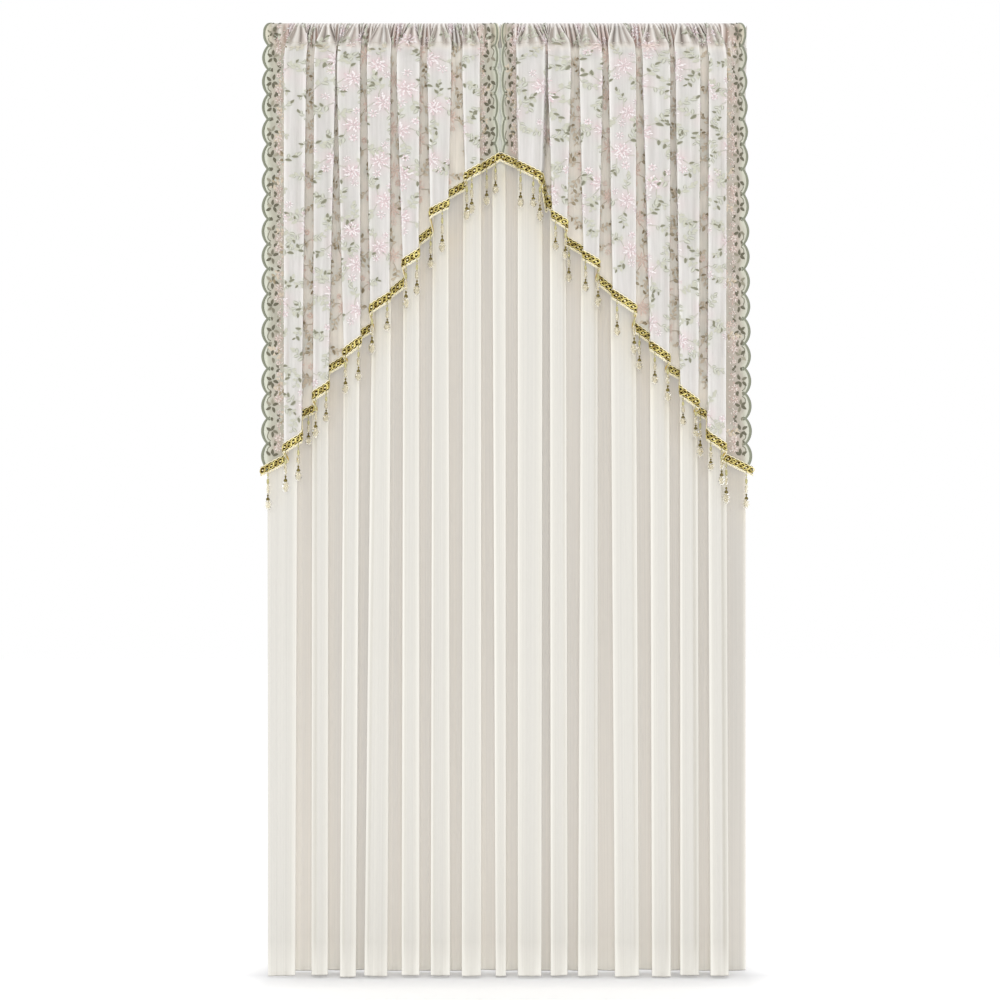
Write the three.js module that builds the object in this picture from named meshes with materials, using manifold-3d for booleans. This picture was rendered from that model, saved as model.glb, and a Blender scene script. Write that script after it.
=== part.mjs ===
// Door curtain: a sheer full-length panel on a rod pocket, and in front of it two embroidered
// overlays whose diagonal lower edges carry a gold braid with bead drops.
// Millimetres, +Z up. The front faces -Y, and the origin is the middle of the top edge.
import * as THREE from 'three';
import { mergeVertices } from 'three/addons/utils/BufferGeometryUtils.js';
import Module from 'manifold-3d';

const wasm = await Module();
wasm.setup();

// Cloth and sewing
const CURTAIN_DROP = 2000;
const CLOTH = 1.2;
const SEAT_GAP = 0.3;
const FRONT_BOW = 1.5;
const CORNER_SHARE = 0.4;
const MERGE_DISTANCE = 1e-3;

// Rod pocket: a round crown over tapering walls that meet at the seam
const POCKET_LEFT = -500;
const POCKET_RIGHT = 504;
const POCKET_RADIUS = 16;
const POCKET_RUFFLE = 1.5;
const POCKET_STATIONS = 62;
const SEAM_Z = -50;
const SEAM_ALLOWANCE = 6;
const SEAM_SWING = 3;
const POCKET_ANGLES = [90, 45, 0, -45, -90];

// Where the cloth falls from its gathers into settled folds
const FOLDS_SET_Z = -130;
const FOLDS_FORM_Z = -55;
const FOLDS_DEEPEN_Z = -24;
const FOLDS_DEEP_Z = -100;

// Overlays: scalloped sides, and a lower edge that rises from the outer side to the middle
const OVERLAY_RADIUS = POCKET_RADIUS + POCKET_RUFFLE + SEAT_GAP + CLOTH / 2;
const CROWN_Z = -(POCKET_RADIUS + POCKET_RUFFLE);
const OVERLAY_BACK_Y = -29;
const OVERLAY_INNER_Y = -38;
const SCALLOP_PITCH = 52;
const OUTER_SCALLOP_DEPTH = 11.5;
const INNER_SCALLOP_DEPTH = 5.5;
const SCALLOP_STEPS = 5;
const SCALLOP_FULLNESS = 0.7;
const CUTTER_REACH = 40;
const CUTTER_DEPTH = 140;

// Braid and bead drops
const BRAID_HEIGHT = 19;
const BRAID_BELOW_EDGE = 5;
const BRAID_OVERHANG = 2;
const BRAID_MEET_X = -14.7;
const BRAID_MEET_GAP = 1;
const DROP_SIDES = 4;

// Turns rows of numbers into records with the named columns
function records(columns, rows) {
  return rows.map((row) => Object.fromEntries(columns.map((name, i) => [name, row[i]])));
}

// Box folds, left to right: the edges of each flat front where the folds set and at the foot,
// how deep it stands, how far its walls tuck in behind it, and how round its corners are
const FOLD_COLUMNS = [
  'setLeft', 'setRight', 'footLeft', 'footRight', 'depth', 'tuckLeft', 'tuckRight', 'round',
];

const PANEL_FOLDS = records(FOLD_COLUMNS, [
  [-502, -437, -500, -444, 40, 7, 7, 5],
  [-407, -374, -409, -376, 38, 7, 7, 5],
  [-338, -306, -349, -317, 41, 6, 7, 5],
  [-277, -241, -298, -251, 43, 7, 7, 6],
  [-216, -185, -220, -184, 39, 6, 6, 5],
  [-155, -124, -159, -120, 40, 6, 7, 5],
  [-91, -55, -94, -55, 42, 6, 6, 5],
  [-31, -4, -23, -3, 36, 4, 4, 4],
  [23, 74, 23, 71, 43, 6, 6, 6],
  [90, 122, 92, 126, 39, 6, 6, 5],
  [157, 189, 149, 189, 41, 7, 6, 5],
  [214, 267, 226, 275, 43, 7, 7, 6],
  [298, 337, 304, 342, 40, 7, 6, 5],
  [363, 397, 363, 401, 39, 7, 7, 5],
  [418, 455, 426, 463, 42, 7, 7, 6],
]);

const LEFT_OVERLAY_FOLDS = records(FOLD_COLUMNS, [
  [-461, -414, -461, -424, 36, 7, 7, 5],
  [-399, -354, -401, -369, 34, 7, 6, 5],
  [-351, -303, -337, -302, 37, 6, 7, 5],
  [-290, -240, -283, -242, 35, 7, 7, 6],
  [-228, -180, -215, -182, 38, 7, 6, 5],
  [-165, -115, -159, -121, 36, 7, 7, 6],
  [-93, -56, -87, -56, 33, 6, 6, 5],
]);

const RIGHT_OVERLAY_FOLDS = records(FOLD_COLUMNS, [
  [18, 77, 22, 70, 36, 5, -10, 11],
  [84, 132, 93, 124, 34, 6, 6, 5],
  [149, 197, 157, 190, 36, 6, 7, 5],
  [209, 266, 217, 266, 38, 7, 7, 6],
  [279, 337, 295, 335, 36, 7, 7, 6],
  [347, 399, 357, 395, 35, 7, 7, 5],
  [416, 454, 413, 452, 33, 7, 7, 5],
]);

// Lower edge of the overlays: its height at the left foot, at both edges of the front and at the
// right foot of each fold
const EDGE_COLUMNS = ['leftFoot', 'leftFront', 'rightFront', 'rightFoot'];

const LEFT_EDGE = records(EDGE_COLUMNS, [
  [-916, -899, -877, -828],
  [-812, -791, -771, -734],
  [-709, -703, -677, -661],
  [-643, -611, -586, -578],
  [-547, -518, -498, -467],
  [-441, -413, -395, -371],
  [-346, -339, -321, -318],
]);

const RIGHT_EDGE = records(EDGE_COLUMNS, [
  [-307, -316, -339, -387],
  [-397, -418, -438, -463],
  [-488, -501, -520, -540],
  [-572, -581, -613, -641],
  [-671, -687, -715, -728],
  [-746, -781, -808, -815],
  [-830, -873, -898, -914],
]);

// Bead drops: the fold each hangs from, its place across the front (0 to 1) or across the recess
// that follows (1 to 2), and its length below the braid
const DROP_COLUMNS = ['fold', 'place', 'length'];
const BORDER_DROP_COLUMNS = ['place', 'length'];

const LEFT_DROPS = records(DROP_COLUMNS, [
  [0, 0.08, 85],
  [0, 0.9, 78],
  [0, 1.46, 62],
  [1, 0.15, 82],
  [1, 0.95, 64],
  [2, 0.06, 79],
  [2, 0.95, 73],
  [3, 0.05, 88],
  [3, 0.93, 60],
  [4, 0.15, 90],
  [4, 0.95, 76],
  [4, 1.8, 68],
  [5, 0.69, 87],
  [6, 0.04, 84],
  [6, 0.42, 77],
]);

const RIGHT_DROPS = records(DROP_COLUMNS, [
  [0, 0.03, 78],
  [0, 0.65, 65],
  [0, 0.98, 86],
  [1, 0.14, 61],
  [1, 0.93, 66],
  [1, 1.22, 76],
  [2, 0.05, 66],
  [2, 0.97, 82],
  [3, 0.13, 74],
  [3, 0.94, 89],
  [3, 1.37, 75],
  [4, 0.16, 66],
  [4, 0.93, 83],
  [5, 0.06, 60],
  [5, 0.85, 66],
  [5, 1.43, 86],
  [6, 0.1, 60],
  [6, 0.75, 76],
]);

// Sheets: the x of the side edges at the set of the folds and at the foot, the y of the sides and
// of the recesses, and the folds between. The panel starts on the front of its first fold. The
// overlays also have the heights of their lower edge and the places of their drops.
const PANEL = {
  startsOnFront: true,
  setStart: -502, footStart: -500, setEnd: 506, footEnd: 506,
  startY: -20, endY: 20, backY: 20, folds: PANEL_FOLDS,
};
const LEFT_OVERLAY = {
  name: 'left', innerAtEnd: true,
  setStart: -510, footStart: -512, setEnd: -15.9, footEnd: -15.9,
  startY: OVERLAY_BACK_Y, endY: OVERLAY_INNER_Y, backY: OVERLAY_BACK_Y, folds: LEFT_OVERLAY_FOLDS,
  startEdge: -946, endEdge: -292, edge: LEFT_EDGE,
  startDrops: records(BORDER_DROP_COLUMNS, [[0.24, 79]]),
  endDrops: records(BORDER_DROP_COLUMNS, [[0.42, 78], [0.83, 65]]),
  drops: LEFT_DROPS,
};
const RIGHT_OVERLAY = {
  name: 'right', innerAtEnd: false,
  setStart: -13.5, footStart: -13.5, setEnd: 500, footEnd: 510.5,
  startY: OVERLAY_INNER_Y, endY: OVERLAY_BACK_Y, backY: OVERLAY_BACK_Y, folds: RIGHT_OVERLAY_FOLDS,
  startEdge: -292, endEdge: -945, edge: RIGHT_EDGE,
  startDrops: [],
  endDrops: records(BORDER_DROP_COLUMNS, [[0.16, 86], [0.81, 76]]),
  drops: RIGHT_DROPS,
};

// Overlay rows sewn to the front of the pocket: the angle from the crown towards the front,
// how far the ruffle stands out, and how far the gathers have spread into folds
const CROWN_ROWS = records(['angle', 'ruffle', 'spread'], [
  [70, 4, 0.15],
  [90, 7, 0.35],
]);

// Overlay rows that hang below the crown
const HANGING_ROWS = records(['z', 'ruffle'], [
  [-34, 9],
  [-52, 10],
  [-75, 10],
  [-100, 10],
  [FOLDS_SET_Z, 10],
]);
const OVERLAY_MIDWAY = 0.5;
const PANEL_FORMING_Z = [SEAM_Z - SEAT_GAP, -66, -90, FOLDS_SET_Z];
const PANEL_FALL = [0.5, 1];

// One bead drop: sections at shares of its length below the braid, their reach in front of it and
// radius
const DROP_SECTIONS = records(['below', 'forward', 'radius'], [
  [-0.05, 0, 1.2],
  [0.07, 4, 1.3],
  [0.36, 4, 2.8],
  [0.57, 4, 1.6],
  [0.84, 4, 6.2],
  [1, 4, 0.9],
]);

const lerp = THREE.MathUtils.lerp;
const smooth = THREE.MathUtils.smoothstep;

// Fold path: one level section through a sheet

// Columns of one fold, and the first of the two at each of its four corners
const COLUMNS_PER_FOLD = 9;
const CORNER_COLUMNS = [0, 2, 5, 7];

// How far the parts of a fold stand out in the gathers of the heading
const RIDGE = { foot: 0, middle: 0.2, side: 0.5, edge: 1 };

// A point of the path, with its ridge in the gathers
function pathPoint(x, y, ridge) {
  return { x, y, ridge };
}

// The point a given distance from one corner towards the next
function along(from, to, distance) {
  const span = Math.hypot(to.x - from.x, to.y - from.y);
  const share = Math.min(distance / span, CORNER_SHARE);
  return pathPoint(lerp(from.x, to.x, share), lerp(from.y, to.y, share), from.ridge);
}

// Foot, front edge, middle of the front, front edge and foot of one fold
function foldCorners(fold, fall, backY) {
  const left = lerp(fold.setLeft, fold.footLeft, fall);
  const right = lerp(fold.setRight, fold.footRight, fall);
  const frontY = backY - fold.depth;
  return [
    pathPoint(left + fold.tuckLeft, backY, RIDGE.foot),
    pathPoint(left, frontY, RIDGE.edge),
    pathPoint((left + right) / 2, frontY - FRONT_BOW, RIDGE.middle),
    pathPoint(right, frontY, RIDGE.edge),
    pathPoint(right - fold.tuckRight, backY, RIDGE.foot),
  ];
}

// The section at a share of the fall: 0 where the folds set, 1 at the lower edge
function foldPath(sheet, fall) {
  const start = lerp(sheet.setStart, sheet.footStart, fall);
  const end = lerp(sheet.setEnd, sheet.footEnd, fall);
  const corners = [];
  for (const fold of sheet.folds) {
    for (const corner of foldCorners(fold, fall, sheet.backY)) {
      corners.push({ ...corner, round: fold.round });
    }
  }
  if (sheet.startsOnFront) {
    corners.splice(0, 2);
  }
  const first = pathPoint(start, sheet.startY, RIDGE.side);
  const last = pathPoint(end, sheet.endY, RIDGE.side);
  const line = [first, ...corners, last];
  const path = [first];
  for (let i = 1; i < line.length - 1; i += 1) {
    if (line[i].ridge === RIDGE.middle) {
      path.push(line[i]);
    } else {
      path.push(along(line[i], line[i - 1], line[i].round));
      path.push(along(line[i], line[i + 1], line[i].round));
    }
  }
  path.push(last);
  return path;
}

// Share of the cloth's width at each column, measured along the folds
function widthShares(path) {
  const lengths = [0];
  for (let i = 1; i < path.length; i += 1) {
    const step = Math.hypot(path[i].x - path[i - 1].x, path[i].y - path[i - 1].y);
    lengths.push(lengths[i - 1] + step);
  }
  return lengths.map((length) => length / lengths[lengths.length - 1]);
}

// Gathered places of the columns: even between the first and last foot, with flat side borders
function gathersBetweenBorders(path, shares) {
  const from = 1;
  const to = path.length - 2;
  return path.map((point, column) => {
    const isBorder = column < from || column > to;
    const share = (shares[column] - shares[from]) / (shares[to] - shares[from]);
    return isBorder ? point.x : lerp(path[from].x, path[to].x, share);
  });
}

// Closed solids from grids, sections and booleans

function indexedGeometry(points, triangles) {
  const geometry = new THREE.BufferGeometry();
  const positions = points.flatMap((point) => [point.x, point.y, point.z]);
  geometry.setAttribute('position', new THREE.Float32BufferAttribute(positions, 3));
  geometry.setIndex(triangles);
  return geometry;
}

// Normal of the front of a grid of points, from the steps to its neighbours
function gridNormal(grid, row, column) {
  const above = grid[Math.max(row - 1, 0)][column];
  const below = grid[Math.min(row + 1, grid.length - 1)][column];
  const before = grid[row][Math.max(column - 1, 0)];
  const after = grid[row][Math.min(column + 1, grid[row].length - 1)];
  const down = new THREE.Vector3().subVectors(below, above);
  const across = new THREE.Vector3().subVectors(after, before);
  return down.cross(across).normalize();
}

// The grid moved towards its front
function offsetGrid(grid, distance) {
  return grid.map((line, row) => line.map(
    (point, column) => point.clone().addScaledVector(gridNormal(grid, row, column), distance),
  ));
}

// A sheet of the given thickness whose middle is the grid; rows run down, columns to the right
function sheetGeometry(grid, thickness) {
  const rows = grid.length;
  const columns = grid[0].length;
  const front = offsetGrid(grid, thickness / 2).flat();
  const back = offsetGrid(grid, -thickness / 2).flat();
  const behind = front.length;
  const at = (row, column) => row * columns + column;
  const triangles = [];
  for (let row = 0; row + 1 < rows; row += 1) {
    for (let column = 0; column + 1 < columns; column += 1) {
      const a = at(row, column);
      const b = at(row + 1, column);
      const c = at(row + 1, column + 1);
      const d = at(row, column + 1);
      triangles.push(a, b, c, a, c, d);
      triangles.push(behind + a, behind + c, behind + b, behind + a, behind + d, behind + c);
    }
  }
  const rim = [];
  for (let row = 0; row < rows; row += 1) {
    rim.push(at(row, 0));
  }
  for (let column = 1; column < columns; column += 1) {
    rim.push(at(rows - 1, column));
  }
  for (let row = rows - 2; row >= 0; row -= 1) {
    rim.push(at(row, columns - 1));
  }
  for (let column = columns - 2; column > 0; column -= 1) {
    rim.push(at(0, column));
  }
  rim.forEach((a, i) => {
    const b = rim[(i + 1) % rim.length];
    triangles.push(a, behind + a, behind + b, a, behind + b, b);
  });
  return indexedGeometry([...front, ...back], triangles);
}

// A closed strand through rings of points, each ring turning the same way
function strandGeometry(rings) {
  const sides = rings[0].length;
  const triangles = [];
  for (let ring = 0; ring + 1 < rings.length; ring += 1) {
    for (let side = 0; side < sides; side += 1) {
      const a = ring * sides + side;
      const b = ring * sides + (side + 1) % sides;
      triangles.push(a, a + sides, b, b, a + sides, b + sides);
    }
  }
  const last = (rings.length - 1) * sides;
  for (let side = 1; side + 1 < sides; side += 1) {
    triangles.push(0, side, side + 1);
    triangles.push(last, last + side + 1, last + side);
  }
  return indexedGeometry(rings.flat(), triangles);
}

// A tube open at both ends, from outer and inner rings with the same number of points
function tubeGeometry(stations) {
  const sides = stations[0].outer.length;
  const ringSize = 2 * sides;
  const points = stations.flatMap((station) => [...station.outer, ...station.inner]);
  const triangles = [];
  const quad = (a, b, c, d) => triangles.push(a, c, b, a, d, c);
  for (let side = 0; side < sides; side += 1) {
    const next = (side + 1) % sides;
    for (let i = 0; i + 1 < stations.length; i += 1) {
      const here = i * ringSize;
      const there = here + ringSize;
      quad(here + side, here + next, there + next, there + side);
      quad(here + sides + side, there + sides + side, there + sides + next, here + sides + next);
    }
    const end = (stations.length - 1) * ringSize;
    quad(side, sides + side, sides + next, next);
    quad(end + side, end + next, end + sides + next, end + sides + side);
  }
  return indexedGeometry(points, triangles);
}

function toSolid(geometry) {
  return new wasm.Manifold(new wasm.Mesh({
    numProp: 3,
    vertProperties: new Float32Array(geometry.getAttribute('position').array),
    triVerts: new Uint32Array(geometry.getIndex().array),
  }));
}

function fromSolid(solid) {
  const mesh = solid.getMesh();
  const geometry = new THREE.BufferGeometry();
  geometry.setAttribute('position', new THREE.BufferAttribute(mesh.vertProperties, 3));
  geometry.setIndex(new THREE.BufferAttribute(mesh.triVerts, 1));
  return geometry;
}

function piece(name, geometry, finish) {
  const mesh = new THREE.Mesh(geometry, new THREE.MeshStandardMaterial(finish));
  mesh.name = name;
  return mesh;
}

// Rod pocket

const POCKET_STEP = (POCKET_RIGHT - POCKET_LEFT) / POCKET_STATIONS;

// Gathers swing the seam to and fro from station to station, some more than others
function seamSwingAt(station) {
  const way = station % 2 === 0 ? 1 : -1;
  return SEAM_SWING * way * (0.75 + 0.25 * Math.cos(2.3 * station));
}

// The seam's swing at any x, straight between the stations
function seamSwing(x) {
  const place = THREE.MathUtils.clamp((x - POCKET_LEFT) / POCKET_STEP, 0, POCKET_STATIONS);
  const before = Math.min(Math.floor(place), POCKET_STATIONS - 1);
  return lerp(seamSwingAt(before), seamSwingAt(before + 1), place - before);
}

// One section of the pocket: from the front of the seam over the crown to its back
function pocketRing(x, radius, seamY, seamHalf, seamZ) {
  const ring = [new THREE.Vector3(x, seamY - seamHalf, seamZ)];
  for (const angle of POCKET_ANGLES) {
    const turn = THREE.MathUtils.degToRad(angle);
    ring.push(new THREE.Vector3(x, -radius * Math.sin(turn), CROWN_Z + radius * Math.cos(turn)));
  }
  ring.push(new THREE.Vector3(x, seamY + seamHalf, seamZ));
  return ring;
}

function headingGeometry() {
  const stations = [];
  for (let i = 0; i <= POCKET_STATIONS; i += 1) {
    const x = POCKET_LEFT + i * POCKET_STEP;
    const way = i % 2 === 0 ? 1 : -1;
    const radius = POCKET_RADIUS + POCKET_RUFFLE * way * (0.6 + 0.4 * Math.sin(1.9 * i));
    const swing = seamSwingAt(i);
    stations.push({
      outer: pocketRing(x, radius, swing, CLOTH, SEAM_Z),
      inner: pocketRing(x, radius - CLOTH, swing, CLOTH / 3, SEAM_Z + SEAM_ALLOWANCE),
    });
  }
  return tubeGeometry(stations);
}

// Base panel

function panelGrid() {
  const set = foldPath(PANEL, 0);
  const shares = widthShares(set);
  const grid = PANEL_FORMING_Z.map((z) => {
    const formed = smooth(SEAM_Z - z, 0, SEAM_Z - FOLDS_SET_Z);
    return set.map((point, column) => {
      const gatheredX = lerp(PANEL.setStart, PANEL.setEnd, shares[column]);
      const x = lerp(gatheredX, point.x, formed);
      return new THREE.Vector3(x, lerp(seamSwing(gatheredX), point.y, formed), z);
    });
  });
  for (const fall of PANEL_FALL) {
    const z = lerp(FOLDS_SET_Z, -CURTAIN_DROP, fall);
    grid.push(foldPath(PANEL, fall).map((point) => new THREE.Vector3(point.x, point.y, z)));
  }
  return grid;
}

// Overlays

// Height at a share of the cloth's width, straight between the knots on either side
function heightAt(knots, share) {
  const after = Math.max(1, knots.findIndex((knot) => knot.share >= share));
  const from = knots[after - 1];
  const to = knots[after];
  return THREE.MathUtils.mapLinear(share, from.share, to.share, from.z, to.z);
}

// Height of the lower edge at every column, straight in the flat cloth from corner to corner
function edgeHeights(sheet) {
  const shares = widthShares(foldPath(sheet, 1));
  const knots = [{ share: 0, z: sheet.startEdge }];
  sheet.edge.forEach((heights, fold) => {
    const foot = 1 + fold * COLUMNS_PER_FOLD;
    CORNER_COLUMNS.forEach((column, corner) => {
      const share = (shares[foot + column] + shares[foot + column + 1]) / 2;
      knots.push({ share, z: heights[EDGE_COLUMNS[corner]] });
    });
  });
  knots.push({ share: 1, z: sheet.endEdge });
  return shares.map((share) => heightAt(knots, share));
}

// A point of the settled folds at a column and height, above a lower edge of the given height
function overlayPoint(sheet, edge, column, z) {
  const fall = (z - FOLDS_SET_Z) / (edge - FOLDS_SET_Z);
  const point = foldPath(sheet, fall)[column];
  return new THREE.Vector3(point.x, point.y, z);
}

function overlayGrid(sheet) {
  const set = foldPath(sheet, 0);
  const shares = widthShares(foldPath(sheet, 1));
  const gatheredX = gathersBetweenBorders(set, shares);
  const grid = CROWN_ROWS.map((row) => set.map((point, column) => {
    const turn = THREE.MathUtils.degToRad(row.angle);
    const radius = OVERLAY_RADIUS + row.ruffle * point.ridge;
    const x = lerp(gatheredX[column], point.x, row.spread);
    return new THREE.Vector3(x, -radius * Math.sin(turn), CROWN_Z + radius * Math.cos(turn));
  }));
  for (const row of HANGING_ROWS) {
    const spread = smooth(-row.z, 0, -FOLDS_FORM_Z);
    const deep = smooth(-row.z, -FOLDS_DEEPEN_Z, -FOLDS_DEEP_Z);
    grid.push(set.map((point, column) => {
      const ruffleY = -(OVERLAY_RADIUS + row.ruffle * point.ridge);
      const x = lerp(gatheredX[column], point.x, spread);
      return new THREE.Vector3(x, lerp(ruffleY, point.y, deep), row.z);
    }));
  }
  const lowerRows = [
    (edge) => lerp(FOLDS_SET_Z, edge, OVERLAY_MIDWAY),
    (edge) => edge + BRAID_HEIGHT - BRAID_BELOW_EDGE,
    (edge) => edge,
  ];
  const edges = edgeHeights(sheet);
  for (const rowZ of lowerRows) {
    grid.push(edges.map((edge, column) => overlayPoint(sheet, edge, column, rowZ(edge))));
  }
  return grid;
}

// A block outside one side edge, with round scallops left standing; outward is -1 or 1 along X
function scallopCutter(topX, footX, footZ, outward, depth) {
  const outline = new THREE.Shape();
  const crestX = (z) => lerp(topX, footX, z / footZ);
  const count = Math.ceil(-footZ / SCALLOP_PITCH) + 1;
  outline.moveTo(topX + outward * CUTTER_REACH, SCALLOP_PITCH);
  outline.lineTo(topX - outward * depth, SCALLOP_PITCH);
  for (let i = 0; i < count; i += 1) {
    for (let step = 0; step <= SCALLOP_STEPS; step += 1) {
      const share = step / SCALLOP_STEPS;
      const z = -(i + share) * SCALLOP_PITCH;
      const bulge = Math.sin(Math.PI * share) ** SCALLOP_FULLNESS;
      const isNotch = step === SCALLOP_STEPS && i + 1 < count;
      if (!isNotch) {
        outline.lineTo(crestX(z) - outward * depth * (1 - bulge), z);
      }
    }
  }
  outline.lineTo(footX + outward * CUTTER_REACH, -count * SCALLOP_PITCH);
  const block = new THREE.ExtrudeGeometry(outline, { depth: CUTTER_DEPTH, bevelEnabled: false });
  block.rotateX(Math.PI / 2);
  block.translate(0, CUTTER_DEPTH / 2, 0);
  block.deleteAttribute('normal');
  block.deleteAttribute('uv');
  return toSolid(mergeVertices(block, MERGE_DISTANCE));
}

function overlayGeometry(sheet) {
  const whole = toSolid(sheetGeometry(overlayGrid(sheet), CLOTH));
  const startDepth = sheet.innerAtEnd ? OUTER_SCALLOP_DEPTH : INNER_SCALLOP_DEPTH;
  const endDepth = sheet.innerAtEnd ? INNER_SCALLOP_DEPTH : OUTER_SCALLOP_DEPTH;
  const startCutter = scallopCutter(sheet.setStart, sheet.footStart, sheet.startEdge, -1, startDepth);
  const endCutter = scallopCutter(sheet.setEnd, sheet.footEnd, sheet.endEdge, 1, endDepth);
  return fromSolid(whole.subtract(startCutter).subtract(endCutter));
}

// Braid and bead drops

// The point at a given x on the line from one point through another
function extendTo(from, through, x) {
  return new THREE.Vector3().lerpVectors(from, through, (x - from.x) / (through.x - from.x));
}

// The braid lies in front of the cloth along its lower edge and runs a little past both sides
function braidGrid(sheet) {
  const levels = [BRAID_HEIGHT - BRAID_BELOW_EDGE, -BRAID_BELOW_EDGE];
  const grid = levels.map((level) => edgeHeights(sheet).map(
    (edge, column) => overlayPoint(sheet, edge, column, edge + level),
  ));
  const meet = BRAID_MEET_GAP / 2;
  for (const line of grid) {
    const last = line.length - 1;
    const startX = sheet.innerAtEnd ? line[0].x - BRAID_OVERHANG : BRAID_MEET_X + meet;
    const endX = sheet.innerAtEnd ? BRAID_MEET_X - meet : line[last].x + BRAID_OVERHANG;
    line[0] = extendTo(line[1], line[0], startX);
    line[last] = extendTo(line[last - 1], line[last], endX);
  }
  return offsetGrid(grid, CLOTH + SEAT_GAP);
}

// Where drops hang from the braid: on its first stretch, on the fronts and recesses, and on its last
function hangingDrops(sheet, braid) {
  const lower = braid[braid.length - 1];
  const last = lower.length - 1;
  const hang = (from, to, share, length) => {
    const point = new THREE.Vector3().lerpVectors(lower[from], lower[to], share);
    return { point, length };
  };
  const onStart = sheet.startDrops.map(({ place, length }) => hang(0, 1, place, length));
  const onEnd = sheet.endDrops.map(({ place, length }) => hang(last - 1, last, place, length));
  const onFolds = sheet.drops.map(({ fold, place, length }) => {
    const foot = 1 + fold * COLUMNS_PER_FOLD;
    const nextFoot = foot + COLUMNS_PER_FOLD;
    if (place <= 1) {
      return hang(foot + 3, foot + 5, place, length);
    }
    return hang(nextFoot - 1, nextFoot, place - 1, length);
  });
  return [...onStart, ...onFolds, ...onEnd];
}

function dropGeometry({ point, length }) {
  const rings = DROP_SECTIONS.map((section) => {
    const ring = [];
    for (let side = 0; side < DROP_SIDES; side += 1) {
      const turn = (2 * Math.PI * (side + 0.5)) / DROP_SIDES;
      ring.push(new THREE.Vector3(
        point.x + section.radius * Math.cos(turn),
        point.y - section.forward + section.radius * Math.sin(turn),
        point.z - section.below * length,
      ));
    }
    return ring;
  });
  return strandGeometry(rings);
}

function trimGeometry(sheet) {
  const braid = braidGrid(sheet);
  let trim = toSolid(sheetGeometry(braid, CLOTH));
  for (const drop of hangingDrops(sheet, braid)) {
    trim = trim.add(toSolid(dropGeometry(drop)));
  }
  return fromSolid(trim);
}

// Finishes
const IVORY_VOILE = { color: 0xe9e4da, roughness: 0.85, metalness: 0 };
const EMBROIDERED_VOILE = { color: 0xdcd3cb, roughness: 0.85, metalness: 0 };
const GOLD_BRAID = { color: 0xb08a3a, roughness: 0.4, metalness: 0.7 };

const curtain = new THREE.Group();
curtain.add(piece('heading', headingGeometry(), IVORY_VOILE));
curtain.add(piece('base_panel', sheetGeometry(panelGrid(), CLOTH), IVORY_VOILE));
for (const sheet of [LEFT_OVERLAY, RIGHT_OVERLAY]) {
  curtain.add(piece(`overlay_${sheet.name}`, overlayGeometry(sheet), EMBROIDERED_VOILE));
  curtain.add(piece(`trim_${sheet.name}`, trimGeometry(sheet), GOLD_BRAID));
}

export default curtain;
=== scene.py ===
# %% [markdown]
# # A sheer door curtain with embroidered overlays
#
# The real curtain is sewn from two layers of voile on one rod pocket: a plain full-length panel, and in front
# of it two embroidered overlays whose diagonal lower edges carry a gold braid with bead drops. This lesson
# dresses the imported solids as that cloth. Every piece is a surface or a cord computed on the flat cloth, in
# millimetres across (`s`) and down (`z`), and then carried onto the folds by one mapping, so embroidery, braid
# and beads bend with the cloth they are sewn to.

# %% Load the frame
import math

import bpy
import numpy as np
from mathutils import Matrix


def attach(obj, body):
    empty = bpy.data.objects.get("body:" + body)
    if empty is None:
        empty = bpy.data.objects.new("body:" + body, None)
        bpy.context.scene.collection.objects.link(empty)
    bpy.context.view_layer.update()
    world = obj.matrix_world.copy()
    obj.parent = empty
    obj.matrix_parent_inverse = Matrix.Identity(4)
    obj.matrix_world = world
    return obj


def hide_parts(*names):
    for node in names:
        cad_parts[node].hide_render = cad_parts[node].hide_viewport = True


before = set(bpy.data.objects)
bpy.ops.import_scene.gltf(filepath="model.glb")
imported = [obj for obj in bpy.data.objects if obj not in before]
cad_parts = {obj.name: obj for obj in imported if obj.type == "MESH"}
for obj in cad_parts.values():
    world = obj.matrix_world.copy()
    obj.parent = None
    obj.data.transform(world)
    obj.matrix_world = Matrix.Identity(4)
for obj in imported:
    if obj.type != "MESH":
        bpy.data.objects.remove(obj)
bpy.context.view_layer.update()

# %% [markdown]
# ## Sizes
#
# A seamstress works from a cutting list. Here it is a few named sizes and one table per sheet, with the edges
# of each box-like fold where the folds set below the heading and at the foot, its depth, how far its walls
# tuck in behind the front, and how round its corners are. They could be guessed evenly spaced, but a hung
# curtain is never even, so they follow the photographed folds and repeat the sizes of the solids.

# %% Sizes in millimetres
MM = 0.001
CURTAIN_DROP = 2000.0
SEAM_Z, FOLDS_FORM_Z, FOLDS_SET_Z = -50.0, -55.0, -130.0
POCKET_LEFT, POCKET_RIGHT, CROWN_Z = -500.0, 504.0, -17.5
PANEL_BACK_Y, OVERLAY_BACK_Y, INNER_SIDE_Y, OVERLAY_RADIUS = 20.0, -29.0, -38.0, 18.4
PEAK_X, PEAK_EDGE_Z = -14.7, -292.0
SCALLOP_PITCH, SCALLOP_FULLNESS = 52.0, 0.7
OUTER_SCALLOP, INNER_SCALLOP = 11.5, 5.5
BRAID_HEIGHT, BRAID_BELOW_EDGE = 19.0, 5.0

FOLD_COLUMNS = ("set_left", "set_right", "foot_left", "foot_right", "depth", "tuck_left", "tuck_right", "round")


def fold_table(rows):
    """A table of folds as one array per named column."""
    return dict(zip(FOLD_COLUMNS, np.array(rows, float).T))


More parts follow.
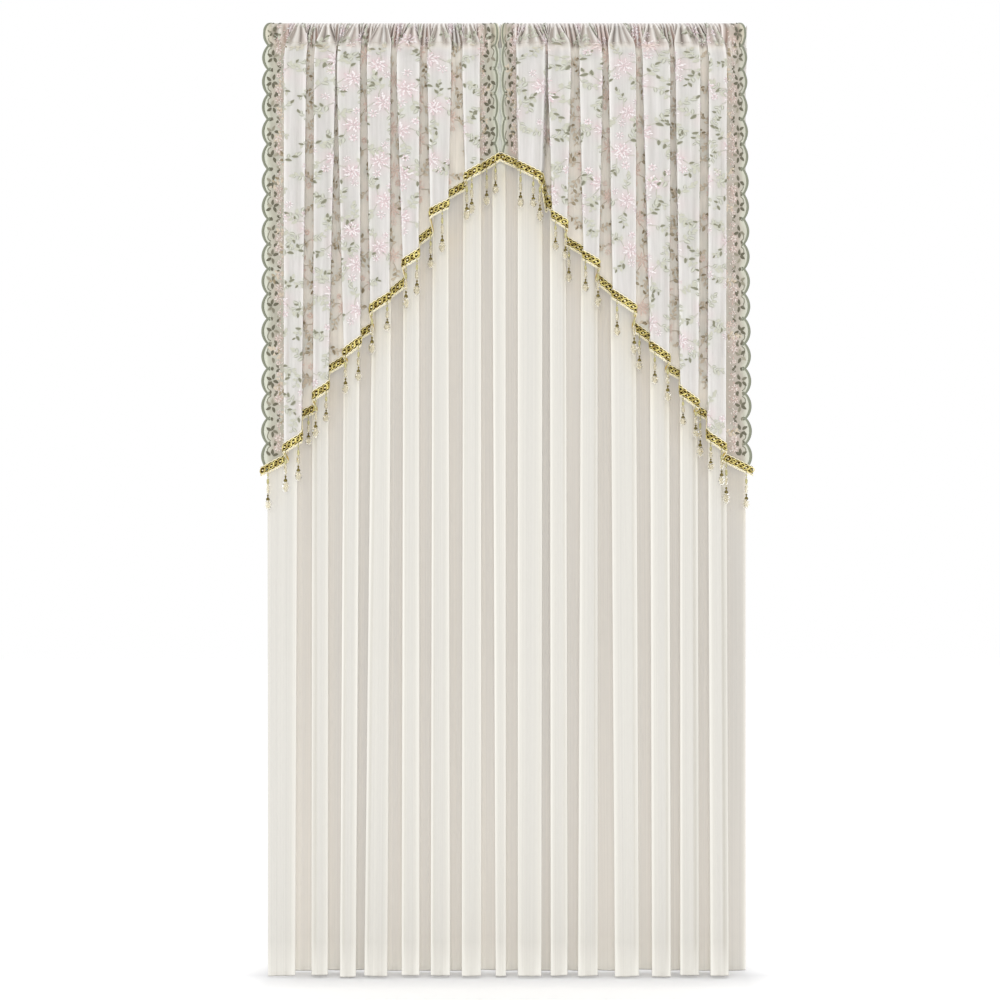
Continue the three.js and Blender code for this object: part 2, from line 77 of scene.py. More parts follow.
PANEL_FOLDS = fold_table([
    [-502, -437, -500, -444, 40, 7, 7, 5], [-407, -374, -409, -376, 38, 7, 7, 5],
    [-338, -306, -349, -317, 41, 6, 7, 5], [-277, -241, -298, -251, 43, 7, 7, 6],
    [-216, -185, -220, -184, 39, 6, 6, 5], [-155, -124, -159, -120, 40, 6, 7, 5],
    [-91, -55, -94, -55, 42, 6, 6, 5], [-31, -4, -23, -3, 36, 4, 4, 4],
    [23, 74, 23, 71, 43, 6, 6, 6], [90, 122, 92, 126, 39, 6, 6, 5],
    [157, 189, 149, 189, 41, 7, 6, 5], [214, 267, 226, 275, 43, 7, 7, 6],
    [298, 337, 304, 342, 40, 7, 6, 5], [363, 397, 363, 401, 39, 7, 7, 5],
    [418, 455, 426, 463, 42, 7, 7, 6]])
LEFT_FOLDS = fold_table([
    [-461, -414, -461, -424, 36, 7, 7, 5], [-399, -354, -401, -369, 34, 7, 6, 5],
    [-351, -303, -337, -302, 37, 6, 7, 5], [-290, -240, -283, -242, 35, 7, 7, 6],
    [-228, -180, -215, -182, 38, 7, 6, 5], [-165, -115, -159, -121, 36, 7, 7, 6],
    [-93, -56, -87, -56, 33, 6, 6, 5]])
RIGHT_FOLDS = fold_table([
    [18, 77, 22, 70, 36, 5, -10, 11], [84, 132, 93, 124, 34, 6, 6, 5],
    [149, 197, 157, 190, 36, 6, 7, 5], [209, 266, 217, 266, 38, 7, 7, 6],
    [279, 337, 295, 335, 36, 7, 7, 6], [347, 399, 357, 395, 35, 7, 7, 5],
    [416, 454, 413, 452, 33, 7, 7, 5]])

# Height of each overlay's lower edge at the left foot, both front edges and right foot of its folds
LEFT_EDGE = [
    [-916, -899, -877, -828], [-812, -791, -771, -734], [-709, -703, -677, -661], [-643, -611, -586, -578],
    [-547, -518, -498, -467], [-441, -413, -395, -371], [-346, -339, -321, -318]]
RIGHT_EDGE = [
    [-307, -316, -339, -387], [-397, -418, -438, -463], [-488, -501, -520, -540], [-572, -581, -613, -641],
    [-671, -687, -715, -728], [-746, -781, -808, -815], [-830, -873, -898, -914]]

# Bead drops: the fold each hangs from, its place across the front (0 to 1) or the next recess (1 to 2), its length
LEFT_DROPS = [
    [0, 0.08, 85], [0, 0.9, 78], [0, 1.46, 62], [1, 0.15, 82], [1, 0.95, 64], [2, 0.06, 79], [2, 0.95, 73],
    [3, 0.05, 88], [3, 0.93, 60], [4, 0.15, 90], [4, 0.95, 76], [4, 1.8, 68], [5, 0.69, 87], [6, 0.04, 84],
    [6, 0.42, 77]]
RIGHT_DROPS = [
    [0, 0.03, 78], [0, 0.65, 65], [0, 0.98, 86], [1, 0.14, 61], [1, 0.93, 66], [1, 1.22, 76], [2, 0.05, 66],
    [2, 0.97, 82], [3, 0.13, 74], [3, 0.94, 89], [3, 1.37, 75], [4, 0.16, 66], [4, 0.93, 83], [5, 0.06, 60],
    [5, 0.85, 66], [5, 1.43, 86], [6, 0.1, 60], [6, 0.75, 76]]
print("folds:", *(len(table["depth"]) for table in (PANEL_FOLDS, LEFT_FOLDS, RIGHT_FOLDS)))

# %% [markdown]
# ## Folded cloth
#
# A level cut through a pleated sheet is a line of flat fronts, walls and recesses with rounded corners. It
# could be one sine wave, but then the flat fronts and sharp fold edges of this voile would be lost. So each
# section is a corner line whose corners are rounded by a quadratic curve, and its length along the cloth is
# the flat width.

# %% Formulas used throughout
def lerp(a, b, t):
    """The value a share t of the way from a to b."""
    return a + (b - a) * t


def smooth(start, end, value):
    """0 before start and 1 after end, with an S-shaped cubic between."""
    t = np.clip((value - start) / (end - start), 0.0, 1.0)
    return t * t * (3.0 - 2.0 * t)


def bell(value, reach):
    """1 at zero, falling away to both sides as a bell curve of the given reach."""
    return np.exp(-(value / reach) ** 2)


def rotated(angle, forward, aside):
    """A step forward and a step aside, turned by an angle."""
    return forward * np.cos(angle) - aside * np.sin(angle), forward * np.sin(angle) + aside * np.cos(angle)


print("half way of an S-curve:", smooth(0.0, 2.0, 1.0))

# %% Sections of the folds
FRONT_BOW, CORNER_SHARE, ROUND_SHARE, WAVE_DEPTH, WALL_WAVE = 1.5, 0.4, 0.6, 0.7, 0.4


def fold_corners(folds, place, back_y, outset):
    """Foot, front edge, front edge and foot of every fold, in order from left to right. The outset moves the edges
    from the solid's middle to its outer face."""
    left, right = folds[place + "_left"] - outset, folds[place + "_right"] + outset
    back = np.full_like(left, back_y)
    front = back - folds["depth"]
    x = np.stack([left + folds["tuck_left"], left, right, right - folds["tuck_right"]], axis=1)
    y = np.stack([back, front, front, back], axis=1)
    return np.stack([x.ravel(), y.ravel()], axis=1)


def rounded(line, radii, bend, run, fronts):
    """The line with each inner corner cut by a quadratic curve of `bend` points and each straight stretch split
    by `run` points; stretches that are fronts bow outwards by a parabola and a faint wave."""
    before, corner, after = line[:-2], line[1:-1], line[2:]

    def cut(target):
        """Points a corner radius along the way to a neighbour, at most a share of that way."""
        span = np.linalg.norm(target - corner, axis=1)
        return corner + (target - corner) * np.minimum(radii / span, CORNER_SHARE)[:, None]

    enter, leave = cut(before), cut(after)
    t = np.linspace(0.0, 1.0, bend)[None, :, None]
    bends = (1 - t) ** 2 * enter[:, None] + 2 * t * (1 - t) * corner[:, None] + t ** 2 * leave[:, None]
    u = (np.arange(run) + 1.0) / (run + 1)
    starts, ends = np.vstack([line[:1], leave]), np.vstack([enter, line[-1:]])
    runs = lerp(starts[:, None], ends[:, None], u[None, :, None])
    wave = WAVE_DEPTH * np.sin(2.0 * math.pi * (2.2 * u[None, :] + 0.37 * np.arange(len(runs))[:, None]))
    hump = 4.0 * u * (1.0 - u)
    runs[..., 1] -= np.where(fronts[:, None], FRONT_BOW * hump + wave * hump, WALL_WAVE * wave * hump)
    body = np.concatenate([runs[:-1], bends], axis=1).reshape(-1, 2)
    return np.vstack([line[:1], body, runs[-1], line[-1:]])


print("corners of the panel's folds:", len(fold_corners(PANEL_FOLDS, "foot", PANEL_BACK_Y, outset=0.0)))


# %% Sheets of folded cloth
class Cloth:
    """A pleated sheet as columns of cloth, each with its place where the folds set and at the foot. `s` is the
    distance of each column along the flat cloth from its left edge."""

    def __init__(self, folds, start, end, back_y, side_y, on_front, bend, run, outset=0.0):
        skip = 2 if on_front else 0
        is_edge = np.tile([False, True, True, False], len(folds["depth"]))[skip:]
        radii = ROUND_SHARE * np.repeat(folds["round"], 4)[skip:]
        fronts = np.concatenate([[on_front], is_edge]) & np.concatenate([is_edge, [False]])
        lines = []
        for place, from_x, to_x in (("set", start[0], end[0]), ("foot", start[1], end[1])):
            corners = fold_corners(folds, place, back_y, outset)[skip:]
            line = np.vstack([[from_x, side_y[0]], corners, [to_x, side_y[1]]])
            lines.append(rounded(line, radii, bend, run, fronts))
        self.set, self.foot = lines
        self.back_y = back_y
        self.depth = folds["depth"].max()
        self.s = np.concatenate([[0.0], np.cumsum(np.linalg.norm(np.diff(self.foot, axis=0), axis=1))])
        self.width = self.s[-1]
        middle = 1 + np.arange(len(corners)) * (run + bend) + run + bend // 2
        self.corner_s = self.s[middle]
        self.edge_s, self.foot_s = self.corner_s[is_edge], self.corner_s[~is_edge]

    def at(self, s, fall):
        """x and y at a distance across the cloth and a share of the fall; past its sides the cloth runs on flat."""
        inside = np.clip(s, 0.0, self.width)
        x = lerp(np.interp(inside, self.s, self.set[:, 0]), np.interp(inside, self.s, self.foot[:, 0]), fall)
        y = lerp(np.interp(inside, self.s, self.set[:, 1]), np.interp(inside, self.s, self.foot[:, 1]), fall)
        return x + (s - inside), y

    def near(self, corners, s, reach):
        """1 on the given corners of the folds, falling away as a bell curve of the given reach."""
        gap = np.abs(self.s[:, None] - corners[None, :]).min(axis=1)
        return np.interp(s, self.s, bell(gap, reach))

    def crease(self, s, reach):
        """1 on a fold edge, falling away as a bell curve of the given reach."""
        return self.near(self.edge_s, s, reach)


class Overlay(Cloth):
    """A pleated sheet with a lower edge whose heights run straight on the flat cloth from corner to corner."""

    def __init__(self, name, folds, start, end, side_y, side_edge, edge, drops, outer_first):
        super().__init__(folds, start, end, OVERLAY_BACK_Y, side_y, False, bend=6, run=5)
        self.name, self.outer_first, self.drops = name, outer_first, np.array(drops)
        self.knots_s = np.concatenate([[0.0], self.corner_s, [self.width]])
        self.knots_z = np.concatenate([side_edge[:1], np.ravel(edge), side_edge[1:]])
        self.area = -0.5 * np.sum((self.knots_z[1:] + self.knots_z[:-1]) * np.diff(self.knots_s))
        self.scallops = (OUTER_SCALLOP, INNER_SCALLOP) if outer_first else (INNER_SCALLOP, OUTER_SCALLOP)
        self.open_walls = self.corner_s.reshape(-1, 4)[folds["tuck_right"] < 0.0, 2:]


panel = Cloth(PANEL_FOLDS, start=(-502, -500), end=(506, 506), back_y=PANEL_BACK_Y, side_y=(-20.0, PANEL_BACK_Y),
              on_front=True, bend=6, run=7, outset=1.2)
OVERLAYS = (
    Overlay("left", LEFT_FOLDS, start=(-510, -512), end=(-15.9, -15.9), side_y=(OVERLAY_BACK_Y, INNER_SIDE_Y),
            side_edge=(-946.0, PEAK_EDGE_Z), edge=LEFT_EDGE, drops=LEFT_DROPS, outer_first=True),
    Overlay("right", RIGHT_FOLDS, start=(-13.5, -13.5), end=(500, 510.5), side_y=(INNER_SIDE_Y, OVERLAY_BACK_Y),
            side_edge=(PEAK_EDGE_Z, -945.0), edge=RIGHT_EDGE, drops=RIGHT_DROPS, outer_first=False))
print("flat widths in mm:", *(round(cloth.width) for cloth in (panel, *OVERLAYS)))

# %% Where flat cloth goes on the hung curtain
GATHER_PITCH, GATHER_SWING = 11.0, 2.6
RUFFLE_PITCH, RUFFLE, SEAM_REACH, SEAM_PINCH = 16.5, 12.0, 4.0, 0.4
RUFFLE_RISE, RUFFLE_FADE, FOLDS_DEEPEN = (2.0, -16.0), (-92.0, -58.0), (-24.0, -100.0)


def seam_swing(x):
    """How far the gathered cloth swings to and fro at the seam: a sine of x with a wandering phase."""
    return GATHER_SWING * np.sin(2 * math.pi * x / GATHER_PITCH + 0.9 * np.sin(x / 37.0))


def panel_place(s, z):
    """Panel: gathered to and fro at the seam, easing by an S-curve into the settled folds."""
    fall = np.clip((z - FOLDS_SET_Z) / (-CURTAIN_DROP - FOLDS_SET_Z), 0.0, 1.0)
    x, y = panel.at(s, fall)
    gathered = lerp(panel.set[0, 0], panel.set[-1, 0], s / panel.width)
    formed = smooth(SEAM_Z, FOLDS_SET_Z, z)
    return np.stack([lerp(gathered, x, formed), lerp(seam_swing(gathered), y, formed), z + 0.0 * s], axis=-1)


def edge_z(cloth, s):
    """Height of an overlay's lower edge: straight between its corners, and on at its mean slope past the sides."""
    inside = np.clip(s, 0.0, cloth.width)
    slope = (cloth.knots_z[-1] - cloth.knots_z[0]) / cloth.width
    return np.interp(inside, cloth.knots_s, cloth.knots_z) + slope * (s - inside)


def gathers(cloth, s):
    """Ridge of the heading's ruffles, 0 in a narrow valley to 1 on a broad ridge, and how much the cloth is
    gathered: most between the fronts of the folds, and not in the flat borders."""
    phase = math.pi * s / RUFFLE_PITCH + 0.9 * np.sin(s / 29.0) + 0.5 * np.sin(s / 83.0)
    inside = smooth(0.0, cloth.foot_s[0], s) * smooth(cloth.width, cloth.foot_s[-1], s)
    front = np.interp(s, cloth.s, np.clip((cloth.back_y - cloth.set[:, 1]) / cloth.depth, 0.0, 1.0))
    return np.abs(np.sin(phase)) ** 0.8, inside * (1.0 - 0.2 * front)


def overlay_place(cloth, s, z):
    """Overlay: round the front of the pocket's crown in fine ruffles, spreading and deepening into the folds."""
    fall = np.clip((z - FOLDS_SET_Z) / (edge_z(cloth, s) - FOLDS_SET_Z), 0.0, 1.2)
    x, y = cloth.at(s, fall)
    first, last = cloth.foot_s[0], cloth.foot_s[-1]
    stops = np.array([0.0, first, last, cloth.width])
    gathered = np.interp(s, stops, np.interp(stops, cloth.s, cloth.set[:, 0]))
    ridge, inside = gathers(cloth, s)
    rise = np.clip(z - CROWN_Z, 0.0, OVERLAY_RADIUS - 0.2)
    lean = np.sqrt(1.0 - (rise / OVERLAY_RADIUS) ** 2)
    pinched = 1.0 - SEAM_PINCH * bell(z - SEAM_Z, SEAM_REACH)
    ruffle = RUFFLE * smooth(*RUFFLE_RISE, z) * pinched * smooth(*RUFFLE_FADE, z)
    gather_y = -lean * (OVERLAY_RADIUS + ruffle * ridge * inside)
    spread, deep = smooth(0.0, FOLDS_FORM_Z, z), smooth(*FOLDS_DEEPEN, z)
    return np.stack([lerp(gathered, x, spread), lerp(gather_y, y, deep), z + 0.0 * s], axis=-1)


def lifted(cloth, s, z, lift):
    """Points a height above an overlay: its place plus the lift along the normal from central differences."""
    step = 0.4
    across = overlay_place(cloth, s + step, z) - overlay_place(cloth, s - step, z)
    down = overlay_place(cloth, s, z - step) - overlay_place(cloth, s, z + step)
    normal = np.cross(down, across)
    normal /= np.linalg.norm(normal, axis=-1, keepdims=True)
    return overlay_place(cloth, s, z) + normal * np.asarray(lift)[..., None]


print("panel 900 mm across at mid-drop:", np.round(panel_place(np.array([900.0]), np.array([-1000.0])), 1))

# %% [markdown]
# ## Mesh helpers
#
# A piece is a grid of points, or many equal grids stored one after another, such as all leaves of an overlay.
# They could be modelled one by one in the viewport; as arrays they stay editable by their tables.

# %% Mesh helpers
def grid_faces(rows, columns, wrap=False, count=1):
    """Quads of `count` grids stored in turn; wrap joins the last column to the first, as round a tube."""
    index = np.arange(rows * columns).reshape(rows, columns)
    left, right = (index, np.roll(index, -1, axis=1)) if wrap else (index[:, :-1], index[:, 1:])
    quads = np.stack([left[:-1], left[1:], right[1:], right[:-1]], axis=-1).reshape(-1, 4)
    shifts = np.arange(count)[:, None, None] * rows * columns
    return (quads[None] + shifts).reshape(-1, 4)


def cap_faces(rows, columns, count=1):
    """Closing faces for the first and last ring of each of `count` tubes."""
    first = np.arange(columns)[None, :] + np.arange(count)[:, None] * rows * columns
    return np.vstack([first, (first + (rows - 1) * columns)[:, ::-1]])


def make_piece(name, points, faces, material, uv, values=None, is_smooth=True):
    """A mesh object from points in millimetres, with its UV map in metres of cloth and its named values."""
    mesh = bpy.data.meshes.new(name)
    quads = [face for block in faces for face in block.tolist()]
    mesh.from_pydata((points.reshape(-1, 3) * MM).tolist(), [], quads)
    corners = np.empty(len(mesh.loops), np.int32)
    mesh.loops.foreach_get("vertex_index", corners)
    layer = mesh.uv_layers.new(name="Cloth")
    layer.data.foreach_set("uv", (uv.reshape(-1, 2)[corners] * MM).ravel().astype(np.float32))
    for title, value in (values or {}).items():
        if value.shape[-1] == 3 and value.ndim > 1:
            colour = np.concatenate([value.reshape(-1, 3), np.ones((value.size // 3, 1))], axis=1)
            mesh.attributes.new(title, "FLOAT_COLOR", "POINT").data.foreach_set("color", colour.ravel())
        else:
            mesh.attributes.new(title, "FLOAT", "POINT").data.foreach_set("value", value.ravel())
    mesh.polygons.foreach_set("use_smooth", np.full(len(mesh.polygons), is_smooth))
    mesh.materials.append(material)
    mesh.update()
    piece = bpy.data.objects.new(name, mesh)
    bpy.context.scene.collection.objects.link(piece)
    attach(piece, "root")
    print(f"{name}: {len(mesh.vertices)} points, {len(corners) - 2 * len(mesh.polygons)} triangles")
    return piece


def srgb(red, green, blue):
    """A colour given as 0-255 screen values, in linear light."""
    c = np.array([red, green, blue]) / 255.0
    return np.where(c <= 0.04045, c / 12.92, ((c + 0.055) / 1.055) ** 2.4)


print("a grid of 3 x 4 points has", len(grid_faces(3, 4)), "faces; mid grey is", np.round(srgb(128, 128, 128), 3))

# %% [markdown]
# ## Materials
#
# Voile is a plain weave so open that light passes between the yarns: it looks whiter where it is seen edge on
# or lies double. It could be tinted glass, but the yarns themselves are matt. So the cloth is a
# matt shader whose alpha grows with the cloth's own density, with streaks across it that stand for yarn of uneven
# thickness and for painted shade of fine crinkles. Its whiter fold edges are a painted highlight in its stored
# tint. Thread, braid and beads get their own finishes. Shared effects are node groups.

# %% Plain weave
def new_group(name, inputs, outputs):
    """A shader node group with named sockets."""
    tree = bpy.data.node_groups.new(name, "ShaderNodeTree")
    for socket, kind, value in inputs:
        made = tree.interface.new_socket(socket, in_out="INPUT", socket_type=kind)
        if value is not None:
            made.default_value = value
    for socket, kind in outputs:
        tree.interface.new_socket(socket, in_out="OUTPUT", socket_type=kind)
    return tree, tree.nodes.new("NodeGroupInput"), tree.nodes.new("NodeGroupOutput")


def math_node(tree, operation, first, second=None, clamp=False):
    """A math node fed by sockets or plain numbers; returns its output."""
    node = tree.nodes.new("ShaderNodeMath")
    node.operation, node.use_clamp = operation, clamp
    for socket, value in zip(node.inputs, (first, second)):
        if isinstance(value, bpy.types.NodeSocket):
            tree.links.new(value, socket)
        elif value is not None:
            socket.default_value = value
    return node.outputs[0]


def weave_group():
    """Plain weave: two sets of round yarns over and under each other, with thin gaps between."""
    tree, given, result = new_group(
        "plain weave",
        [("Cloth", "NodeSocketVector", None), ("Yarns per metre", "NodeSocketFloat", 1500.0)],
        [("Height", "NodeSocketFloat"), ("Yarn", "NodeSocketFloat")])
    scaled = tree.nodes.new("ShaderNodeVectorMath")
    scaled.operation = "SCALE"
    tree.links.new(given.outputs["Cloth"], scaled.inputs[0])
    tree.links.new(given.outputs["Yarns per metre"], scaled.inputs["Scale"])
    split = tree.nodes.new("ShaderNodeSeparateXYZ")
    tree.links.new(scaled.outputs[0], split.inputs[0])
    across, down = (math_node(tree, "MULTIPLY", split.outputs[axis], math.pi) for axis in (0, 1))
    warp, weft = (math_node(tree, "ABSOLUTE", math_node(tree, "SINE", angle)) for angle in (across, down))
    over = math_node(tree, "MULTIPLY", math_node(tree, "SINE", across), math_node(tree, "SINE", down))
    height = math_node(tree, "ADD", math_node(tree, "MAXIMUM", warp, weft), math_node(tree, "MULTIPLY", over, 0.3))
    tree.links.new(height, result.inputs["Height"])
    tree.links.new(math_node(tree, "MAXIMUM", warp, weft), result.inputs["Yarn"])
    return tree


WEAVE = weave_group()
print("nodes of the weave:", len(WEAVE.nodes))


# %% Uneven yarns and satin stitch
def slub_and_shade_group():
    """Streaks that stand for yarn of uneven thickness and for painted shade of fine crinkles: noise stretched along
    the drop, fine and broad together, spread to fill 0 to 1; more patches per metre make shorter streaks."""
    tree, given, result = new_group(
        "yarn streaks and painted shade",
        [("Cloth", "NodeSocketVector", None), ("Patches per metre", "NodeSocketFloat", 0.4)],
        [("Streak", "NodeSocketFloat")])
    streaks = []
    for across, down, share in ((300.0, 5.0, 0.3), (75.0, 1.0, 0.7)):
        stretch, scale = tree.nodes.new("ShaderNodeMapping"), tree.nodes.new("ShaderNodeCombineXYZ")
        scale.inputs["X"].default_value = across
        tree.links.new(math_node(tree, "MULTIPLY", given.outputs["Patches per metre"], down), scale.inputs["Y"])
        tree.links.new(scale.outputs[0], stretch.inputs["Scale"])
        tree.links.new(given.outputs["Cloth"], stretch.inputs["Vector"])
        noise = tree.nodes.new("ShaderNodeTexNoise")
        noise.inputs["Scale"].default_value, noise.inputs["Detail"].default_value = 1.0, 2.0
        tree.links.new(stretch.outputs[0], noise.inputs["Vector"])
        streaks.append(math_node(tree, "MULTIPLY", noise.outputs[0], share))
    mean = math_node(tree, "ADD", *streaks)
    spread = math_node(tree, "MULTIPLY", math_node(tree, "SUBTRACT", mean, 0.3), 2.5, clamp=True)
    tree.links.new(spread, result.inputs["Streak"])
    return tree


def stitch_group():
    """Satin stitch: fine parallel threads across a worked shape."""
    tree, given, result = new_group(
        "satin stitch",
        [("Cloth", "NodeSocketVector", None), ("Threads per metre", "NodeSocketFloat", 1600.0)],
        [("Height", "NodeSocketFloat")])
    wave = tree.nodes.new("ShaderNodeTexWave")
    wave.wave_type, wave.bands_direction = "BANDS", "DIAGONAL"
    wave.inputs["Distortion"].default_value = 0.6
    tree.links.new(given.outputs["Cloth"], wave.inputs["Vector"])
    tree.links.new(given.outputs["Threads per metre"], wave.inputs["Scale"])
    tree.links.new(wave.outputs["Fac"], result.inputs["Height"])
    return tree


SLUB_AND_SHADE, STITCH = slub_and_shade_group(), stitch_group()
print("nodes of the yarns:", len(SLUB_AND_SHADE.nodes), "and of the stitch:", len(STITCH.nodes))


# %% Shader helpers
def map_range(tree, value, low, high):
    """The value 0..1 spread over low..high."""
    node = tree.nodes.new("ShaderNodeMapRange")
    tree.links.new(value, node.inputs["Value"])
    node.inputs["To Min"].default_value, node.inputs["To Max"].default_value = low, high
    return node.outputs["Result"]


def mix_colour(tree, share, first, second, blend="MIX"):
    """A colour mix of two sockets or plain colours."""
    node = tree.nodes.new("ShaderNodeMix")
    node.data_type, node.blend_type = "RGBA", blend
    for socket, value in zip((node.inputs[0], node.inputs[6], node.inputs[7]), (share, first, second)):
        if isinstance(value, bpy.types.NodeSocket):
            tree.links.new(value, socket)
        else:
            socket.default_value = value
    return node.outputs[2]


def new_material(name, **constants):
    """A principled material with constants on its own sockets; returns the material, its tree and the shader."""
    material = bpy.data.materials.new(name)
    material.use_nodes = True
    tree = material.node_tree
    shader = next(node for node in tree.nodes if node.type == "BSDF_PRINCIPLED")
    for socket, value in constants.items():
        shader.inputs[socket.replace("_", " ")].default_value = value
    return material, tree, shader


def read_value(tree, name, output):
    """A named value stored on the mesh."""
    node = tree.nodes.new("ShaderNodeAttribute")
    node.attribute_name = name
    return node.outputs[output]


def add_bump(tree, shader, height, strength, distance):
    """Bump from a height socket into the shader's normal."""
    node = tree.nodes.new("ShaderNodeBump")
    node.inputs["Strength"].default_value, node.inputs["Distance"].default_value = strength, distance
    tree.links.new(height, node.inputs["Height"])
    tree.links.new(node.outputs["Normal"], shader.inputs["Normal"])


def use_group(tree, group, **values):
    """A group node fed with the piece's cloth coordinates."""
    node = tree.nodes.new("ShaderNodeGroup")
    node.node_tree = group
    uv = tree.nodes.new("ShaderNodeUVMap")
    uv.uv_map = "Cloth"
    tree.links.new(uv.outputs[0], node.inputs["Cloth"])
    for socket, value in values.items():
        node.inputs[socket.replace("_", " ")].default_value = value
    return node


print("sockets of the weave:", ", ".join(socket.name for socket in WEAVE.interface.items_tree))


# %% Voile and thread
def voile_material(name, sheer, dense, patches):
    """Voile whose colour and density are stored on the cloth; the alpha runs from sheer to dense."""
    material, tree, shader = new_material(name, Roughness=0.82, Sheen_Weight=0.12, Specular_IOR_Level=0.25)
    weave = use_group(tree, WEAVE, Yarns_per_metre=1500.0)
    streak = use_group(tree, SLUB_AND_SHADE, Patches_per_metre=patches).outputs["Streak"]
    # The streaks darken the tint: yarn of uneven thickness and painted crinkle shade.
    tone = mix_colour(tree, map_range(tree, streak, low=0.0, high=0.6), read_value(tree, "tint", "Color"),
                      mix_colour(tree, 1.0, read_value(tree, "tint", "Color"), (0.78, 0.77, 0.755, 1), "MULTIPLY"))
    tree.links.new(tone, shader.inputs["Base Color"])
    body = map_range(tree, read_value(tree, "body", "Fac"), sheer, dense)
    uneven = math_node(tree, "ADD", body, map_range(tree, streak, low=0.06, high=-0.06))
    yarn = map_range(tree, weave.outputs["Yarn"], low=-0.05, high=0.02)
    woven = math_node(tree, "ADD", uneven, yarn, clamp=True)
    tree.links.new(woven, shader.inputs["Alpha"])
    add_bump(tree, shader, weave.outputs["Height"], strength=0.25, distance=0.0002)
    return material


def thread_material(name, rough, sheen=0.2, shine=0.35):
    """Embroidery thread: silky, in the colour stored on each stitch shape, with fine parallel threads and painted
    shade between them.
    """
    material, tree, shader = new_material(name, Roughness=rough, Sheen_Weight=sheen, Specular_IOR_Level=shine)
    stitch = use_group(tree, STITCH, Threads_per_metre=260.0)
    # Painted shade: the tint darkens between the threads.
    shade = map_range(tree, stitch.outputs["Height"], low=0.0, high=0.3)
    tint = read_value(tree, "tint", "Color")
    tone = mix_colour(tree, shade, tint, mix_colour(tree, 1.0, tint, (0.72, 0.7, 0.68, 1), "MULTIPLY"))
    tree.links.new(tone, shader.inputs["Base Color"])
    add_bump(tree, shader, stitch.outputs["Height"], strength=0.5, distance=0.0004)
    return material


IVORY = voile_material("ivory voile", sheer=0.8, dense=0.98, patches=0.4)
EMBROIDERED = voile_material("embroidered voile", sheer=0.58, dense=0.95, patches=4.0)
THREAD = thread_material("embroidery thread", rough=0.55)
GILT_RIBBON = thread_material("gilt ribbon", rough=0.8, sheen=0.0, shine=0.1)
print("cloth and thread:", ", ".join(made.name for made in (IVORY, EMBROIDERED, THREAD, GILT_RIBBON)))


# %% Gold and glass
def object_noise(tree, scale, detail=2.0):
    """Noise on the object's own coordinates."""
    place = tree.nodes.new("ShaderNodeTexCoord")
    noise = tree.nodes.new("ShaderNodeTexNoise")
    noise.inputs["Scale"].default_value, noise.inputs["Detail"].default_value = scale, detail
    tree.links.new(place.outputs["Object"], noise.inputs["Vector"])
    return noise.outputs[0]


def gold_material(name, bright, dark, metallic, rough, grain=320.0):
    """Gilt thread or metal: two tones by an object-space noise that also roughens it."""
    material, tree, shader = new_material(name, Metallic=metallic, Roughness=rough)
    noise = object_noise(tree, grain, detail=3.0)
    patch = math_node(tree, "MULTIPLY", math_node(tree, "SUBTRACT", noise, 0.3), 2.5, clamp=True)
    tone = mix_colour(tree, patch, (*srgb(*dark), 1), (*srgb(*bright), 1))
    tree.links.new(tone, shader.inputs["Base Color"])
    tree.links.new(map_range(tree, noise, rough - 0.1, rough + 0.15), shader.inputs["Roughness"])
    add_bump(tree, shader, noise, strength=0.3, distance=0.0003)
    return material


def glass_material(name):
    """Cut glass: clear, faintly warm, with small flaws."""
    material, tree, shader = new_material(name, Roughness=0.1, Transmission_Weight=0.88, IOR=1.33)
    noise = object_noise(tree, scale=140.0)
    tone = mix_colour(tree, noise, (*srgb(230, 222, 194), 1), (*srgb(248, 244, 230), 1))
    tree.links.new(tone, shader.inputs["Base Color"])
    return material


GOLD = gold_material("gilt cord", (255, 243, 160), (140, 112, 34), metallic=0.5, rough=0.28, grain=120.0)
PALE_GOLD = gold_material("pale gilt piping", (250, 245, 222), (236, 224, 182), metallic=0.1, rough=0.45)
DARK_GOLD = gold_material("aged gilt beads", (134, 118, 44), (60, 50, 12), metallic=0.35, rough=0.35)
OLIVE_GOLD = gold_material("olive gilt beads", (200, 194, 144), (146, 138, 88), metallic=0.3, rough=0.35)
GLASS = glass_material("clear glass")
print("materials:", len(bpy.data.materials))

# %% [markdown]
# ## Plain panel
#
# The full-length panel is a straight length of ivory voile, narrowly hemmed. It could be a cloth simulation,
# but box folds set by pressing and hanging are better given one by one. Rows run from the seam to the hem, and
# the last rows turn up behind as the hem, so the hem shows as a brighter double line. Fold edges carry more
# yarns along the line of sight, so the density rises there.

# %% Panel shape
HEM, HEM_GAP, HEM_RISE = 9.0, 0.9, 3.0
FORMING_ROWS, FALLING_ROWS, HEM_ROWS = 22, 30, 4


def panel_rows():
    """Heights of the rows: close together while the folds form, then even, then up again behind the hem."""
    forming = np.linspace(SEAM_Z - 0.4, FOLDS_SET_Z, FORMING_ROWS)
    falling = np.linspace(FOLDS_SET_Z, -CURTAIN_DROP + HEM, FALLING_ROWS)[1:]
    hem = np.linspace(-CURTAIN_DROP + HEM, -CURTAIN_DROP, HEM_ROWS)[1:]
    behind = np.linspace(-CURTAIN_DROP, -CURTAIN_DROP + HEM, HEM_ROWS)[1:]
    return np.concatenate([forming, falling, hem, behind]), len(behind)


heights, turned_up = panel_rows()
s, z = np.meshgrid(panel.s, heights)
points = panel_place(s, z)
points[-turned_up:, :, 1] += HEM_GAP
points[..., 2] += HEM_RISE * (0.5 + 0.5 * np.sin(s / 31.0 + 1.3 * np.sin(s / 117.0))) * smooth(-1880.0, -1990.0, z)
flat_z = z.copy()
flat_z[-turned_up:] = -2.0 * CURTAIN_DROP - z[-turned_up:]
print("panel rows and columns:", s.shape)

